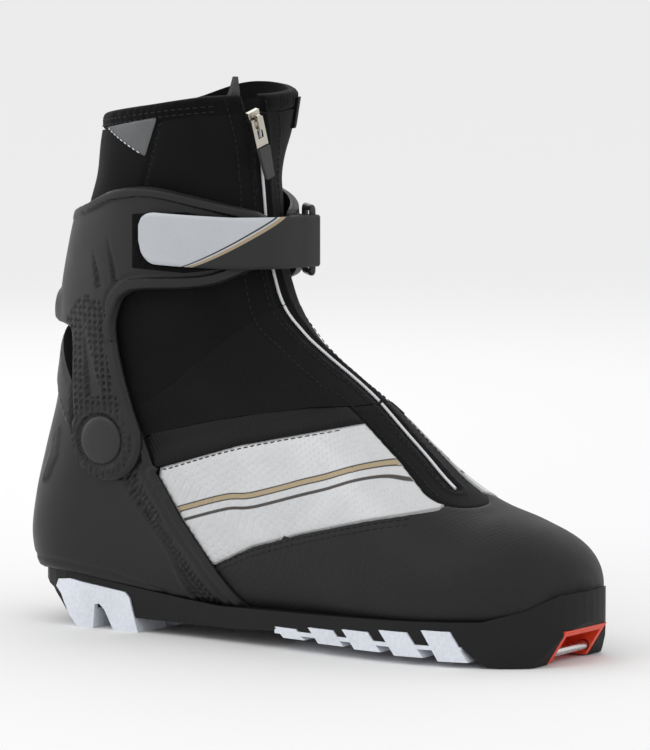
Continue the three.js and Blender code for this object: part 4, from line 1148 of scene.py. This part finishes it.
# ------ the zip
def coil(name, start, stop, body, *nodes):
    """Zip coils as a row of small rounded teeth along part of the zip line."""
    where = zip_uv[(zip_uv[:, 0] <= start) & (zip_uv[:, 0] >= stop)]
    path = on_last(where[:, 0], where[:, 1], .15)
    normal = base_normal(where[:, 0], where[:, 1])
    reach = reach_along(path)
    fine = np.arange(0, reach[-1], .22)
    dense = at_reach(fine, reach, path)
    up = at_reach(fine, reach, normal)
    swell = COIL_R * (1 + .1 * np.cos(fine * 2 * np.pi / 1.1))
    obj = tube(name, dense + up * .25, swell, 10)
    finish(obj, body, "zip", ZIP_WHITE, *nodes)


def zip_break(body):
    """u on the zip line where it enters the flexing band from below and leaves it above."""
    p = on_last(zip_uv[:, 0], zip_uv[:, 1])
    value = lower_flex(p) if body == "boot" else upper_flex(p)
    order = np.argsort(zip_uv[:, 0])
    return float(np.interp(0, value[order], zip_uv[order, 0]))


def build_zip():
    low, high = zip_break("boot"), zip_break("cuff")
    rim_u = float(locate([[-15.5, 236]], (1, 2), FRONT)[0][0])
    coil("zip_coil_lower", low, 0, "boot", "zip_teeth_lower")
    coil("zip_coil_flex", high, low, "flex")
    coil("zip_coil_upper", rim_u, high, "cuff", "zip_teeth_upper")
    for name, sign in (("lateral", -1), ("medial", 1)):
        for distance, tag in ((6.2, "edge"), (13.6, "outer")):
            shift = zip_uv.copy()
            p = on_last(shift[:, 0], shift[:, 1])
            around = np.linalg.norm(on_last(shift[:, 0], shift[:, 1] + .02) - p, axis=1) / .02
            shift[:, 1] += sign * distance / around
            u = shift[:, 0]
            for part, keep, body in (("lower", u <= low, "boot"), ("flex", (u > low) & (u < high), "flex"),
                                     ("upper", (u >= high) & (u < rim_u + .3), "cuff")):
                if keep.sum() > 3:
                    obj = seam(f"zip_stitch_{tag}_{name}_{part}", shift[keep], .55, 2.0, 1.0, .3)
                    finish(obj, body, "knit", BLACK_THREAD)


# ------ other stitching
def surface_seam(name, line, side_of, offset, body, material=BLACK_THREAD, **kw):
    where = locate(spline(line, 40), (0, 2), side_of)
    finish(seam(name, where, offset, **kw), body, "knit", material)


def build_stitching():
    for side_of, word in ((LATERAL, "lateral"), (MEDIAL, "medial")):
        surface_seam(f"collar_seam_{word}", [[30.6, 230], [19.5, 197]], side_of, .25, "cuff",
                     length=2.6, gap=.5, radius=.3, tilt=.7)
        for k, shift in enumerate((1.8, 4.2)):
            line = [[x, z - 8 + shift] for x, z in ([-14, 232.5], [10, 235.6], [35, 239], [55, 241.2])]
            surface_seam(f"binding_stitch_{word}_{k}", line, side_of, .75, "cuff", radius=.32)
        line = [[x, z - 1.6] for x, z in ((30, 76.3), (70, 88), (118, 98))]
        surface_seam(f"quarter_stitch_top_{word}", line, side_of, 1.0, "boot", radius=.3)
        for k, up in enumerate((-1.4, -3.8)):
            line = [[60, 35.8 + up], [80, 44 + up], [106.6, 51.6 + up], [140, 59.5 + up], [160, 63 + up]]
            surface_seam(f"vamp_stitch_{word}_{k}", line, side_of, .55, "boot", radius=.3)
    surface_seam("patch_stitch_0", [(-1.2, 226.2), (20.4, 215.4)], LATERAL, 1.2, "cuff", WHITE_THREAD,
                 length=1.6, gap=1.2, radius=.34)


# ------ carried-over CAD nodes
def carry_over():
    looks = {
        "outsole": RUBBER, "heel_tread": TREAD, "forefoot_tread_lateral": TREAD,
        "forefoot_tread_medial": TREAD, "toe_insert": INSERT, "toe_bar": STEEL, "lasting_board": BOARD,
        "footbed": FELT, "liner": FELT, "tongue": FELT, "zip_slider": NICKEL, "zip_puller": NICKEL,
        "puller_tab": GREY_RUBBER, "pull_tab_medial": FLEX, "pull_tab_lateral": GREY_RUBBER}
    for name, material in looks.items():
        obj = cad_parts[name]
        if not obj.material_slots:
            obj.data.materials.append(material)
        for slot in obj.material_slots:
            slot.material = material
    for name in ("heel_tread", "forefoot_tread_lateral", "forefoot_tread_medial", "toe_insert",
                 "zip_slider", "zip_puller", "puller_tab", "pull_tab_lateral", "pull_tab_medial"):
        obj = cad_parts[name]
        weld = obj.modifiers.new("weld", "WELD")
        weld.merge_threshold = .00002
        bevel = obj.modifiers.new("bevel", "BEVEL")
        bevel.width = .0004 if name[0] in "hft" else .00025
        bevel.segments = 2
        bevel.limit_method = "ANGLE"
        bevel.angle_limit = math.radians(40)
        bevel.harden_normals = False


# ------ floor, lights, camera
CAMERA_AT = (1.2515, -1.7394, .3152)
CAMERA_AIM = (.0915, 0, .1176)
CAMERA_LENS = 226.8


def aim(obj, at, look):
    obj.location = at
    obj.rotation_euler = (Vector(look) - Vector(at)).to_track_quat("-Z", "Y").to_euler()


def stage():
    mesh = bpy.data.meshes.new("floor")
    far = 40.0
    mesh.from_pydata([(-far, -far, 0), (far, -far, 0), (far, far, 0), (-far, far, 0)], [], [(0, 1, 2, 3)])
    floor = place("floor", mesh)
    s = Shader("floor", (.82, .82, .82), .9, specular=0.0)
    mesh.materials.append(s.material)

    def area(name, at, look, size_x, size_y, power):
        light = bpy.data.lights.new(name, "AREA")
        light.shape = "RECTANGLE"
        light.size, light.size_y = size_x, size_y
        light.energy = power
        aim(place(name, light), at, look)

    area("key", (-.5, -1.3, 1.6), (.08, 0, .12), 1.0, 1.0, 4.5)
    area("fill", (1.6, -.2, .8), (.08, 0, .1), .8, 1.0, 1.2)
    area("back", (-.9, .9, 1.1), (.05, 0, .15), .8, 1.0, 2.5)
    area("rear", (-1.2, -.6, .6), (.0, 0, .15), .5, 1.2, 2.5)
    world = bpy.data.worlds.new("studio")
    world.use_nodes = True
    background = world.node_tree.nodes["Background"]
    background.inputs["Color"].default_value = (1, 1, 1, 1)
    background.inputs["Strength"].default_value = 1.02
    bpy.context.scene.world = world
    bpy.context.scene.view_settings.view_transform = "Standard"

    camera = bpy.data.cameras.new("camera")
    camera.lens = CAMERA_LENS
    camera.sensor_width = 36
    camera.sensor_fit = "AUTO"
    obj = place("camera", camera)
    aim(obj, CAMERA_AT, CAMERA_AIM)
    bpy.context.scene.camera = obj


stage()
build_lower()
build_upper()
build_counter()
build_cuff()
build_strap()
build_zip()
build_stitching()
carry_over()
